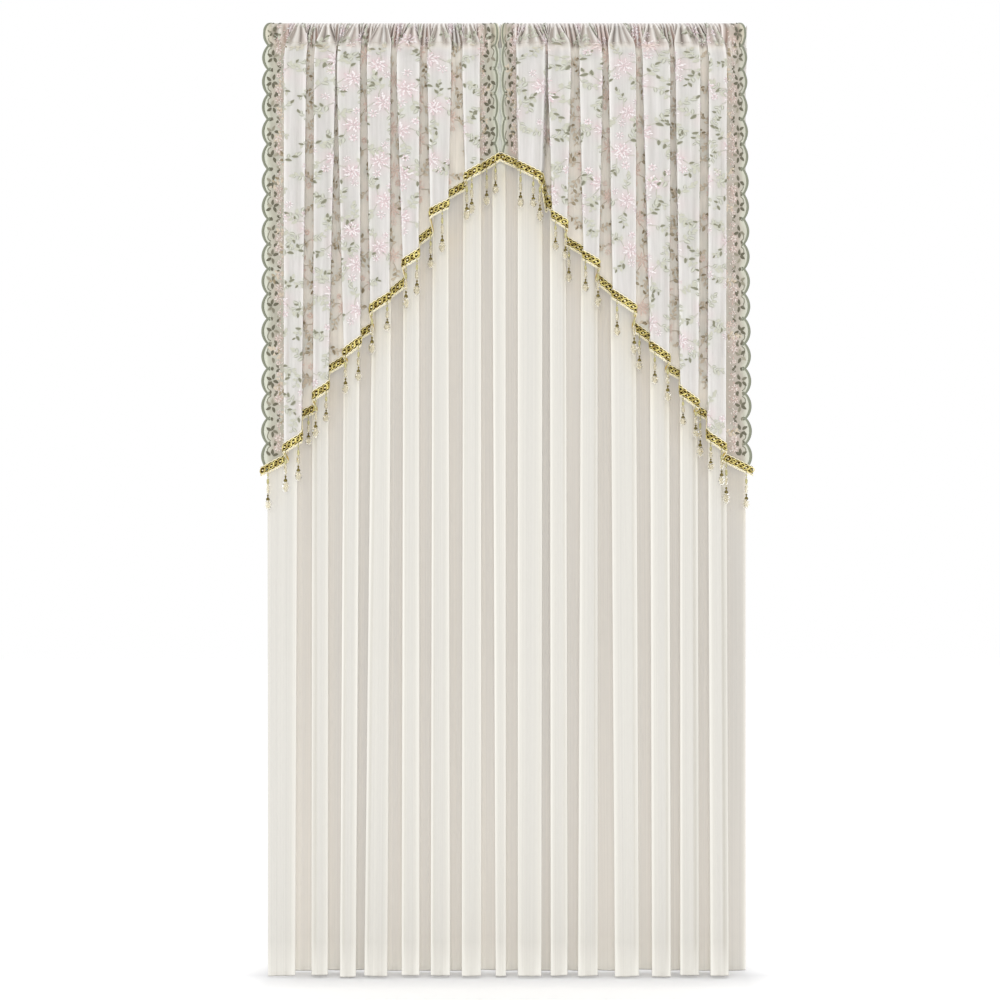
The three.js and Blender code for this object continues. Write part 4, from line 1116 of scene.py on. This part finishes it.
def stem_table(sprigs):
    """Points of the stems of a table of sprigs, in the columns of a stitched shape."""
    along, across, _ = sprig_stem(sprigs, np.linspace(-0.2, 0.95, STEM_POINTS))
    return shape_table(np.stack([along.ravel(), across.ravel()] + [0.0 * along.ravel()] * 3, axis=1))


def stems_of(cloth):
    """Stems of the sprays and then of the borders, one line each, and which belong to the borders."""
    field = on_sprays(PLACES[cloth.name], stem_table(SPRAY_SPRIGS))[:2]
    border = on_border(cloth, stem_table(BORDER_SPRIGS), wander_by=0.0)[:2]
    s, z = (np.concatenate([a.reshape(-1, STEM_POINTS), b.reshape(-1, STEM_POINTS)]) for a, b in zip(field, border))
    inside = (z < TOP_MARGIN) & (s > SIDE_MARGIN) & (s < cloth.width - SIDE_MARGIN)
    keep = (inside & (z > edge_z(cloth, s) + STEM_MARGIN)).all(axis=1)
    at_border = np.arange(len(s)) >= field[0].size // STEM_POINTS
    return s[keep], z[keep], at_border[keep]


def rims_of(cloth):
    """Scallop rims: one arc per scallop that runs a little past its notches and crosses its neighbours there; the
    lowest ends under the braid."""
    lines_s, lines_z, widths = [], [], []
    for (start, inward, foot_z, _), depth in zip(border_sides(cloth), cloth.scallops):
        count = math.ceil(-foot_z / SCALLOP_PITCH - 0.15)
        ends = np.minimum(1.0 + RIM_PAST, -(foot_z + 3.0) / SCALLOP_PITCH - np.arange(count))
        share = -RIM_PAST + (ends[:, None] + RIM_PAST) * np.linspace(0.0, 1.0, RIM_POINTS)
        bulge = np.sign(np.sin(math.pi * share)) * np.abs(np.sin(math.pi * share)) ** SCALLOP_FULLNESS
        z = -(np.arange(count)[:, None] + share) * SCALLOP_PITCH
        is_outer = depth == OUTER_SCALLOP
        lines_z.append(z)
        lines_s.append(start + inward * (depth * (1.0 - bulge) + RIM_INSETS[is_outer]) + 0.0 * z)
        widths.append(np.full(count, RIM_WIDTHS[is_outer]))
    return np.vstack(lines_s), np.vstack(lines_z), np.concatenate(widths)


print("scallops of each overlay:", {cloth.name: len(rims_of(cloth)[0]) for cloth in OVERLAYS})

# %% Make the stems and scallop rims
FRONT_STEM_PAINTED_LIGHT, RECESS_STEM_PAINTED_LIGHT, STEM_BORDER = srgb(194, 193, 180), srgb(196, 186, 166), srgb(116, 112, 92)
RIM_TONE, RIM_PAINTED_HIGHLIGHT, RIM_SIDES = srgb(110, 114, 95), srgb(162, 165, 147), 8
for cloth in OVERLAYS:
    s, z, at_border = stems_of(cloth)
    points, faces, uv = cords_on(cloth, s, z, half_width=0.8, height=0.5, lift=0.4, sides=4)
    front = overlay_front(cloth, points)[..., None]
    # Front and recess copies of the stem colour: painted light, blended by fold depth.
    tone = lerp(RECESS_STEM_PAINTED_LIGHT, FRONT_STEM_PAINTED_LIGHT, smooth(0.1, 0.9, front))
    make_piece(f"stems_{cloth.name}", points, faces, THREAD, uv,
               {"tint": np.where(at_border[:, None, None, None], STEM_BORDER, tone)})
    s, z, widths = rims_of(cloth)
    taper = widths[:, None] * (0.45 + 0.55 * np.sin(np.linspace(0.0, math.pi, s.shape[1])) ** 0.5)
    points, faces, uv = cords_on(cloth, s, z, half_width=taper, height=0.45 * taper, lift=0.5, sides=RIM_SIDES)
    # One side of each rim cord is painted brighter round its section: a painted highlight.
    shine = np.broadcast_to(np.linspace(0, 1, RIM_SIDES), points.shape[:-1])[..., None]
    make_piece(f"scallop_rims_{cloth.name}", points, faces, THREAD, uv,
               {"tint": lerp(RIM_TONE, RIM_PAINTED_HIGHLIGHT, shine)})

# %% [markdown]
# ## Gold braid
#
# The braid is a ribbon, painted dark in front as the shade in the gaps between its cords, and gilt behind, with a
# chain of bright rings on it, each lapping over the next round a small loop, a pale piping on both edges and a row
# of tiny loops below. It could be a flat ribbon with a pattern; but its cords stand up and sparkle, so they are
# laid as real cords along the lower edge of the flat cloth.

# %% Line and width of the braid
BRAID_HALF, BRAID_MIDDLE = 0.43 * BRAID_HEIGHT, 0.5 * BRAID_HEIGHT - BRAID_BELOW_EDGE
OUTER_OVERHANG, INNER_OVERHANG, SQUARE_END = 2.0, 0.7, 22.0
OPEN_WIDER, SLOPE_SPAN, RING_SPAN = 1.5, 16.0, 10.0
RIBBON_STEPS, RING_STEPS, PIPING_STEPS = 560, 1200, 1000


def braid_line(cloth, count):
    """Places across the flat cloth from end to end of the braid, and the distance run along the lower edge."""
    first, last = (OUTER_OVERHANG, INNER_OVERHANG) if cloth.outer_first else (INNER_OVERHANG, OUTER_OVERHANG)
    s = np.linspace(-first, cloth.width + last, count)
    steps = np.hypot(np.diff(s), np.diff(edge_z(cloth, s)))
    return s, np.concatenate([[0.0], np.cumsum(steps)])


def opened(cloth, s):
    """How much the stiff braid widens on the cloth: 1, and more on walls that slant open towards the front."""
    wide = np.ones_like(s)
    for start, end in cloth.open_walls:
        wide = wide + OPEN_WIDER * smooth(start - 3.0, start + 12.0, s) * smooth(end + 8.0, end - 6.0, s)
    return wide


def edge_angle(cloth, s, span):
    """Direction of the lower edge: the arc tangent of its rise over the span about s."""
    return np.arctan2(edge_z(cloth, s + span / 2) - edge_z(cloth, s - span / 2), span)


def braid_flat(cloth, s, across):
    """A place on the braid's middle line moved square to the edge's direction, and straight up at both ends and on
    open walls."""
    wide = opened(cloth, s)
    angle = edge_angle(cloth, s, SLOPE_SPAN)
    angle = angle * smooth(0.0, SQUARE_END, np.minimum(s, cloth.width - s)) * smooth(1.6, 1.0, wide)
    across = across * wide
    return s - across * np.sin(angle), edge_z(cloth, s) + BRAID_MIDDLE + across * np.cos(angle)


print("braid lengths in mm:", {cloth.name: round(braid_line(cloth, RIBBON_STEPS)[1][-1]) for cloth in OVERLAYS})

# %% Ribbon, chain, knots and piping
RING_PITCH, KNOT_RADIUS, TWIST = 10.4, 1.5, 3.2
RINGS = {"long": 6.2, "high": 5.4, "lean": 2.2, "lift": 2.3, "radius": 1.1}
LOOPS = {"long": 2.3, "high": 1.6, "lean": -1.6, "lift": 1.8, "radius": 0.6}
PIPINGS = ({"across": BRAID_HALF - 1.1, "swing": 1.2, "pitch": RING_PITCH, "radius": 1.1, "lift": 1.8},
           {"across": 1.1 - BRAID_HALF, "swing": -1.2, "pitch": RING_PITCH, "radius": 1.3, "lift": 1.8},
           {"across": -BRAID_HALF - 0.6, "swing": -2.0, "pitch": RING_PITCH / 2, "radius": 0.9, "lift": 1.5})


def braid_ribbon(cloth):
    """Flat ribbon with square ends to the curtain's sides: a thin closed section swept along the lower edge."""
    s, _ = braid_line(cloth, RIBBON_STEPS)
    level = np.array([-0.5, -0.25, 0.0, 0.25, 0.5, 0.5, 0.25, 0.0, -0.25, -0.5]) * BRAID_HEIGHT
    lift = np.array([0.5] * 5 + [1.1, 1.5, 1.6, 1.5, 1.1])
    middle_z = edge_z(cloth, s)[:, None] + BRAID_MIDDLE
    flat_s, flat_z = np.broadcast_arrays(s[:, None], middle_z + opened(cloth, s)[:, None] * level[None, :])
    points = lifted(cloth, flat_s, flat_z, np.broadcast_to(lift, flat_s.shape))
    return points, [grid_faces(len(s), 10, wrap=True), cap_faces(len(s), 10)], shape_uv(flat_s, flat_z)


def ring_places(cloth):
    """Places of the rings, evenly along the braid, as places across the flat cloth, and how it runs on from each."""
    s, along = braid_line(cloth, RING_STEPS)
    count = round(along[-1] / RING_PITCH)
    places = np.interp((np.arange(count) + 0.5) * along[-1] / count, along, s)
    slope = edge_angle(cloth, places, RING_SPAN)
    return places[:, None], edge_z(cloth, places)[:, None] + BRAID_MIDDLE, slope[:, None]


def chain_of(cloth, long, high, lean, lift, radius):
    """A chain of rings: ellipses leaning forward, one end over the ring before and the other under the next, the
    sizes a little uneven."""
    s, z, slope = ring_places(cloth)
    turn = np.linspace(0.0, 2 * math.pi * 1.04, 17)[None, :]
    size = 1.0 + 0.1 * np.sin(2.3 * np.arange(len(s)))[:, None]
    forward = long * np.cos(turn) + lean * np.sin(turn)
    aside = high * size * opened(cloth, s) * np.sin(turn)
    step_s, step_z = rotated(slope, forward, aside)
    over = np.broadcast_to(lift + 0.7 * np.cos(turn), step_s.shape)[..., None]
    return cords_on(cloth, s + step_s, z + step_z, half_width=radius, height=radius, lift=over, sides=5)


def braid_knots(cloth):
    """A small domed knot on every second ring: rings of points round its middle, rising as a parabola."""
    s, z, slope = (value[::2, :, None] for value in ring_places(cloth))
    radius = np.array([KNOT_RADIUS, 1.2, 0.7, 0.1])[None, :, None]
    turn = np.linspace(0.0, 2 * math.pi, 9, endpoint=False)[None, None, :]
    step_s, step_z = rotated(slope, 1.1 * radius * np.cos(turn), radius * np.sin(turn))
    flat_s, flat_z = s + step_s, z + step_z
    height = np.broadcast_to(2.4 + 1.4 * (1.0 - (radius / KNOT_RADIUS) ** 2), flat_s.shape)
    faces = [grid_faces(4, 9, wrap=True, count=len(s))[:, ::-1]]
    return lifted(cloth, flat_s, flat_z, height), faces, shape_uv(flat_s, flat_z)


def braid_piping(cloth, across, swing, pitch, radius, lift):
    """A cord along one edge, swinging outwards in half sines, and beaded by its twist."""
    s, along = braid_line(cloth, PIPING_STEPS)
    wave = across + swing * np.abs(np.sin(math.pi * along / pitch))
    s, z = braid_flat(cloth, s[None], wave[None])
    thick = radius * (0.86 + 0.14 * np.sin(2 * math.pi * along / TWIST))
    return cords_on(cloth, s, z, half_width=thick[None], height=thick[None], lift=lift, sides=5)


def joined(*parts):
    """Several parts as one mesh."""
    points = [part[0].reshape(-1, 3) for part in parts]
    starts = np.cumsum([0] + [len(block) for block in points[:-1]])
    faces = [block + start for part, start in zip(parts, starts) for block in part[1]]
    return np.concatenate(points), faces, np.concatenate([part[2].reshape(-1, 2) for part in parts])


print("rings on each braid:", {cloth.name: len(ring_places(cloth)[0]) for cloth in OVERLAYS})

# %% Make the braid
RIBBON_BACK, RIBBON_GAP_SHADE = srgb(214, 186, 104), srgb(46, 29, 4)
for cloth in OVERLAYS:
    points, faces, uv = braid_ribbon(cloth)
    # The front of the ribbon is painted dark as the shade between the rings; its back is gilt.
    is_back = np.arange(points.shape[1])[None, :, None] < points.shape[1] // 2
    tint = np.broadcast_to(np.where(is_back, RIBBON_BACK, RIBBON_GAP_SHADE), points.shape)
    make_piece(f"braid_ribbon_{cloth.name}", points, faces, GILT_RIBBON, uv, {"tint": tint})
    points, faces, uv = joined(chain_of(cloth, **RINGS), chain_of(cloth, **LOOPS))
    make_piece(f"braid_rings_{cloth.name}", points, faces, GOLD, uv)
    points, faces, uv = joined(braid_knots(cloth), *(braid_piping(cloth, **piping) for piping in PIPINGS))
    make_piece(f"braid_piping_{cloth.name}", points, faces, PALE_GOLD, uv)

# %% [markdown]
# ## Bead drops
#
# Each drop is strung on one thread: seed beads, an olive and a long clear bead, a gilt bell cap and a cut drop.
# They could be scaled spheres, but a bell cap and a cut drop are not round. Beads are turned things, so each is
# a profile spun round the thread. The glass keeps flat facets.

# %% Places of the drops and their beads
DROP_FORWARD, DROP_LENGTH, ROOT_LIFT, FRONT_INSET = 4.0, 77.4, 1.4, 2.0

# Drops on the first and on the last border of each overlay: shares of its breadth, and lengths
BORDER_DROPS = {"left": (([0.24], [79]), ([0.42, 0.83], [78, 65])), "right": (([], []), ([0.16, 0.81], [86, 76]))}

# Profiles of the beads on a drop of the usual length: depth below its root, and radius
GILT_BEADS = [
    [[-4, 0.45], [26, 0.45]],
    [[45.5, 0.6], [46.5, 1.7], [48, 2.2], [49.5, 1.7], [50.5, 0.8]],
    [[50.5, 0.8], [51.5, 1.2], [53, 2.7], [54.5, 3.8], [56, 4.2], [57, 3.6], [56.5, 1.0]]]
OLIVE_BEADS = [
    [[4, 0.6], [5, 1.5], [6.5, 1.9], [8, 1.5], [9, 0.6]],
    [[13, 0.6], [14, 1.9], [17, 2.6], [21, 2.6], [24, 1.9], [25, 0.6]]]
GLASS_BEADS = [
    [[9, 0.6], [9.8, 1.5], [11, 1.8], [12.2, 1.5], [13, 0.6]],
    [[25, 0.6], [26.5, 2.5], [30, 3.6], [40, 3.6], [43.5, 2.5], [45, 0.6]],
    [[56, 1.8], [58, 4.2], [61, 6.2], [65.5, 7.0], [70, 6.8], [74, 5.2], [76.4, 3.0], [77.4, 1.2]]]


def drop_places(cloth):
    """Where drops hang on the lower edge and their lengths: across the folds by their table, and on the borders."""
    fold, place, length = cloth.drops[:, 0].astype(int), cloth.drops[:, 1], cloth.drops[:, 2]
    edges = cloth.edge_s.reshape(-1, 2)
    recesses = np.append(cloth.foot_s[1:], cloth.width).reshape(-1, 2)
    on_front = lerp(edges[fold, 0] + FRONT_INSET, edges[fold, 1] - FRONT_INSET, place)
    on_folds = np.where(place <= 1.0, on_front, lerp(recesses[fold, 0], recesses[fold, 1], place - 1.0))
    (starts, start_long), (ends, end_long) = BORDER_DROPS[cloth.name]
    on_ends = lerp(cloth.foot_s[-1], cloth.width, np.array(ends))
    places = np.concatenate([cloth.foot_s[0] * np.array(starts), on_folds, on_ends])
    return places, np.concatenate([start_long, length, end_long])


def spun_beads(roots, lengths, profile, sides):
    """The profile spun round a thread below each root, stretched to its length, odd rings turned by half a facet."""
    turn = np.linspace(0.0, 2 * math.pi, sides, endpoint=False)[None, :]
    turn = turn + (np.arange(len(profile)) % 2)[:, None] * math.pi / sides
    below, radius = profile[:, :1], profile[:, 1:]
    ring = np.stack([radius * np.cos(turn), -DROP_FORWARD + radius * np.sin(turn), -below + 0.0 * turn], axis=-1)
    stretch = np.stack([np.ones_like(lengths), np.ones_like(lengths), lengths / DROP_LENGTH], axis=-1)
    points = roots[:, None, None, :] + ring[None] * stretch[:, None, None, :]
    faces = [grid_faces(len(profile), sides, wrap=True, count=len(roots))[:, ::-1],
             cap_faces(len(profile), sides, count=len(roots))[:, ::-1]]
    return points, faces, shape_uv(points[..., 0], points[..., 2])


print("drops on each overlay:", {cloth.name: len(drop_places(cloth)[0]) for cloth in OVERLAYS})

# %% Make the drops, and hide the trim's solid
BEADS = (("gilt", GILT_BEADS, DARK_GOLD, "gold_braid", 10), ("olive", OLIVE_BEADS, OLIVE_GOLD, "gold_braid", 10),
         ("glass", GLASS_BEADS, GLASS, "glass_beads", 8))
for cloth in OVERLAYS:
    s, lengths = drop_places(cloth)
    roots = lifted(cloth, s, edge_z(cloth, s) - BRAID_BELOW_EDGE, np.full(len(s), ROOT_LIFT))
    for title, profiles, material, slot, sides in BEADS:
        points, faces, uv = joined(*(spun_beads(roots, lengths, np.array(profile), sides) for profile in profiles))
        make_piece(f"drop_{title}_{cloth.name}", points, faces, material, uv, is_smooth=material is not GLASS)
    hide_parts(f"trim_{cloth.name}")

# %% [markdown]
# ## Seam stitches
#
# A line of running stitches closes the pocket under the ruffles. It could be a dashed line in the cloth's material,
# but it is thread and stands a little proud, so it is laid as short cords.

# %% Seam stitches
STITCH_LONG, STITCH_STEP, STITCH_Z, SEAM_END = 3.2, 5.0, SEAM_Z + 1.0, 12.0
SEAM_TONE = srgb(214, 206, 192)
for cloth in OVERLAYS:
    start = np.arange(cloth.foot_s[0] * 0.5, cloth.width - SEAM_END, STITCH_STEP)
    s = start[:, None] + np.linspace(0.0, STITCH_LONG, 4)[None, :]
    z = np.full_like(s, STITCH_Z)
    points, faces, uv = cords_on(cloth, s, z, half_width=0.5, height=0.45, lift=0.3, sides=4)
    make_piece(f"seam_stitches_{cloth.name}", points, faces, THREAD, uv,
               {"tint": np.broadcast_to(SEAM_TONE, points.shape)})

# %% [markdown]
# ## Floor, light and camera
#
# The photograph was lit all round by soft white light with a little from the front, on a white ground. A hard
# lamp would cut dark lines into the folds; so a white world does most of it, and two large soft lamps the rest.

# %% Stage and light
FLOOR_Z, FLOOR_REACH, FLOOR_POINTS = -2.003, 6.0, 9
HALF_WIDTH, SHADOW_FADE_RATE = 0.5, 11.0


def stage_floor():
    """A pale floor just under the hem, with a painted contact shadow close to the hem's line: its tone grows with the
    distance from it, the size of y plus what the size of x exceeds the half width."""
    line = np.linspace(-FLOOR_REACH, FLOOR_REACH, FLOOR_POINTS)
    x, y = np.meshgrid(line, line)
    mesh = bpy.data.meshes.new("floor")
    points = np.stack([x, y, np.full_like(x, FLOOR_Z)], axis=-1).reshape(-1, 3)
    mesh.from_pydata(points.tolist(), [], grid_faces(FLOOR_POINTS, FLOOR_POINTS)[:, ::-1].tolist())
    material, tree, shader = new_material(
        "pale floor", Roughness=0.9, Specular_IOR_Level=0.1, Emission_Color=(1, 1, 1, 1), Emission_Strength=0.08)
    place = tree.nodes.new("ShaderNodeTexCoord")
    split = tree.nodes.new("ShaderNodeSeparateXYZ")
    tree.links.new(place.outputs["Object"], split.inputs[0])
    beside = math_node(tree, "SUBTRACT", math_node(tree, "ABSOLUTE", split.outputs["X"]), HALF_WIDTH)
    beside = math_node(tree, "MAXIMUM", beside, 0.0)
    away = math_node(tree, "ADD", math_node(tree, "ABSOLUTE", split.outputs["Y"]), beside)
    share = math_node(tree, "MULTIPLY", away, SHADOW_FADE_RATE, clamp=True)
    # Painted shadow: darker near the curtain, pale farther off.
    tone = mix_colour(tree, share, (0.72, 0.72, 0.735, 1), (0.95, 0.95, 0.95, 1))
    tree.links.new(tone, shader.inputs["Base Color"])
    mesh.materials.append(material)
    floor = bpy.data.objects.new("floor", mesh)
    bpy.context.scene.collection.objects.link(floor)


def soft_lamp(name, place, target, size, power):
    """A large square lamp aimed at a point, not seen itself through the voile."""
    data = bpy.data.lights.new(name, "AREA")
    data.size, data.energy = size, power
    lamp = bpy.data.objects.new(name, data)
    lamp.location, lamp.visible_camera = place, False
    direction = np.array(target) - np.array(place)
    flat = math.hypot(direction[0], direction[1])
    lamp.rotation_euler = (math.atan2(flat, -direction[2]), 0.0, math.atan2(-direction[0], direction[1]))
    bpy.context.scene.collection.objects.link(lamp)


stage_floor()
soft_lamp("front_lamp", place=(0.06, -4.6, -0.7), target=(0.0, 0.0, -1.0), size=1.4, power=62.0)
soft_lamp("top_lamp", place=(0.0, -1.6, 2.2), target=(0.0, -1.2, -2.0), size=3.5, power=12.0)
world = bpy.data.worlds.new("white studio")
world.use_nodes = True
background = world.node_tree.nodes["Background"]
background.inputs["Color"].default_value = (1.0, 1.0, 1.0, 1.0)
background.inputs["Strength"].default_value = 1.0
bpy.context.scene.world = world
bpy.context.scene.view_settings.view_transform = "Standard"
print("lamps:", len(bpy.data.lights))

# %% Camera
SENSOR, DISTANCE, PIXEL, PANEL_FRONT_Y, CAMERA_Z = 36.0, 3.0, 2.092, -0.02, -1.002
camera_data = bpy.data.cameras.new("camera")
camera_data.sensor_width = SENSOR
camera_data.lens = SENSOR * DISTANCE / PIXEL
camera = bpy.data.objects.new("camera", camera_data)
camera.location = (PEAK_X * MM, PANEL_FRONT_Y - DISTANCE, CAMERA_Z)
camera.rotation_euler = (math.pi / 2, 0.0, 0.0)
bpy.context.scene.collection.objects.link(camera)
bpy.context.scene.camera = camera
print("lens in mm:", round(camera_data.lens, 2))

# %% Update the scene
bpy.context.view_layer.update()
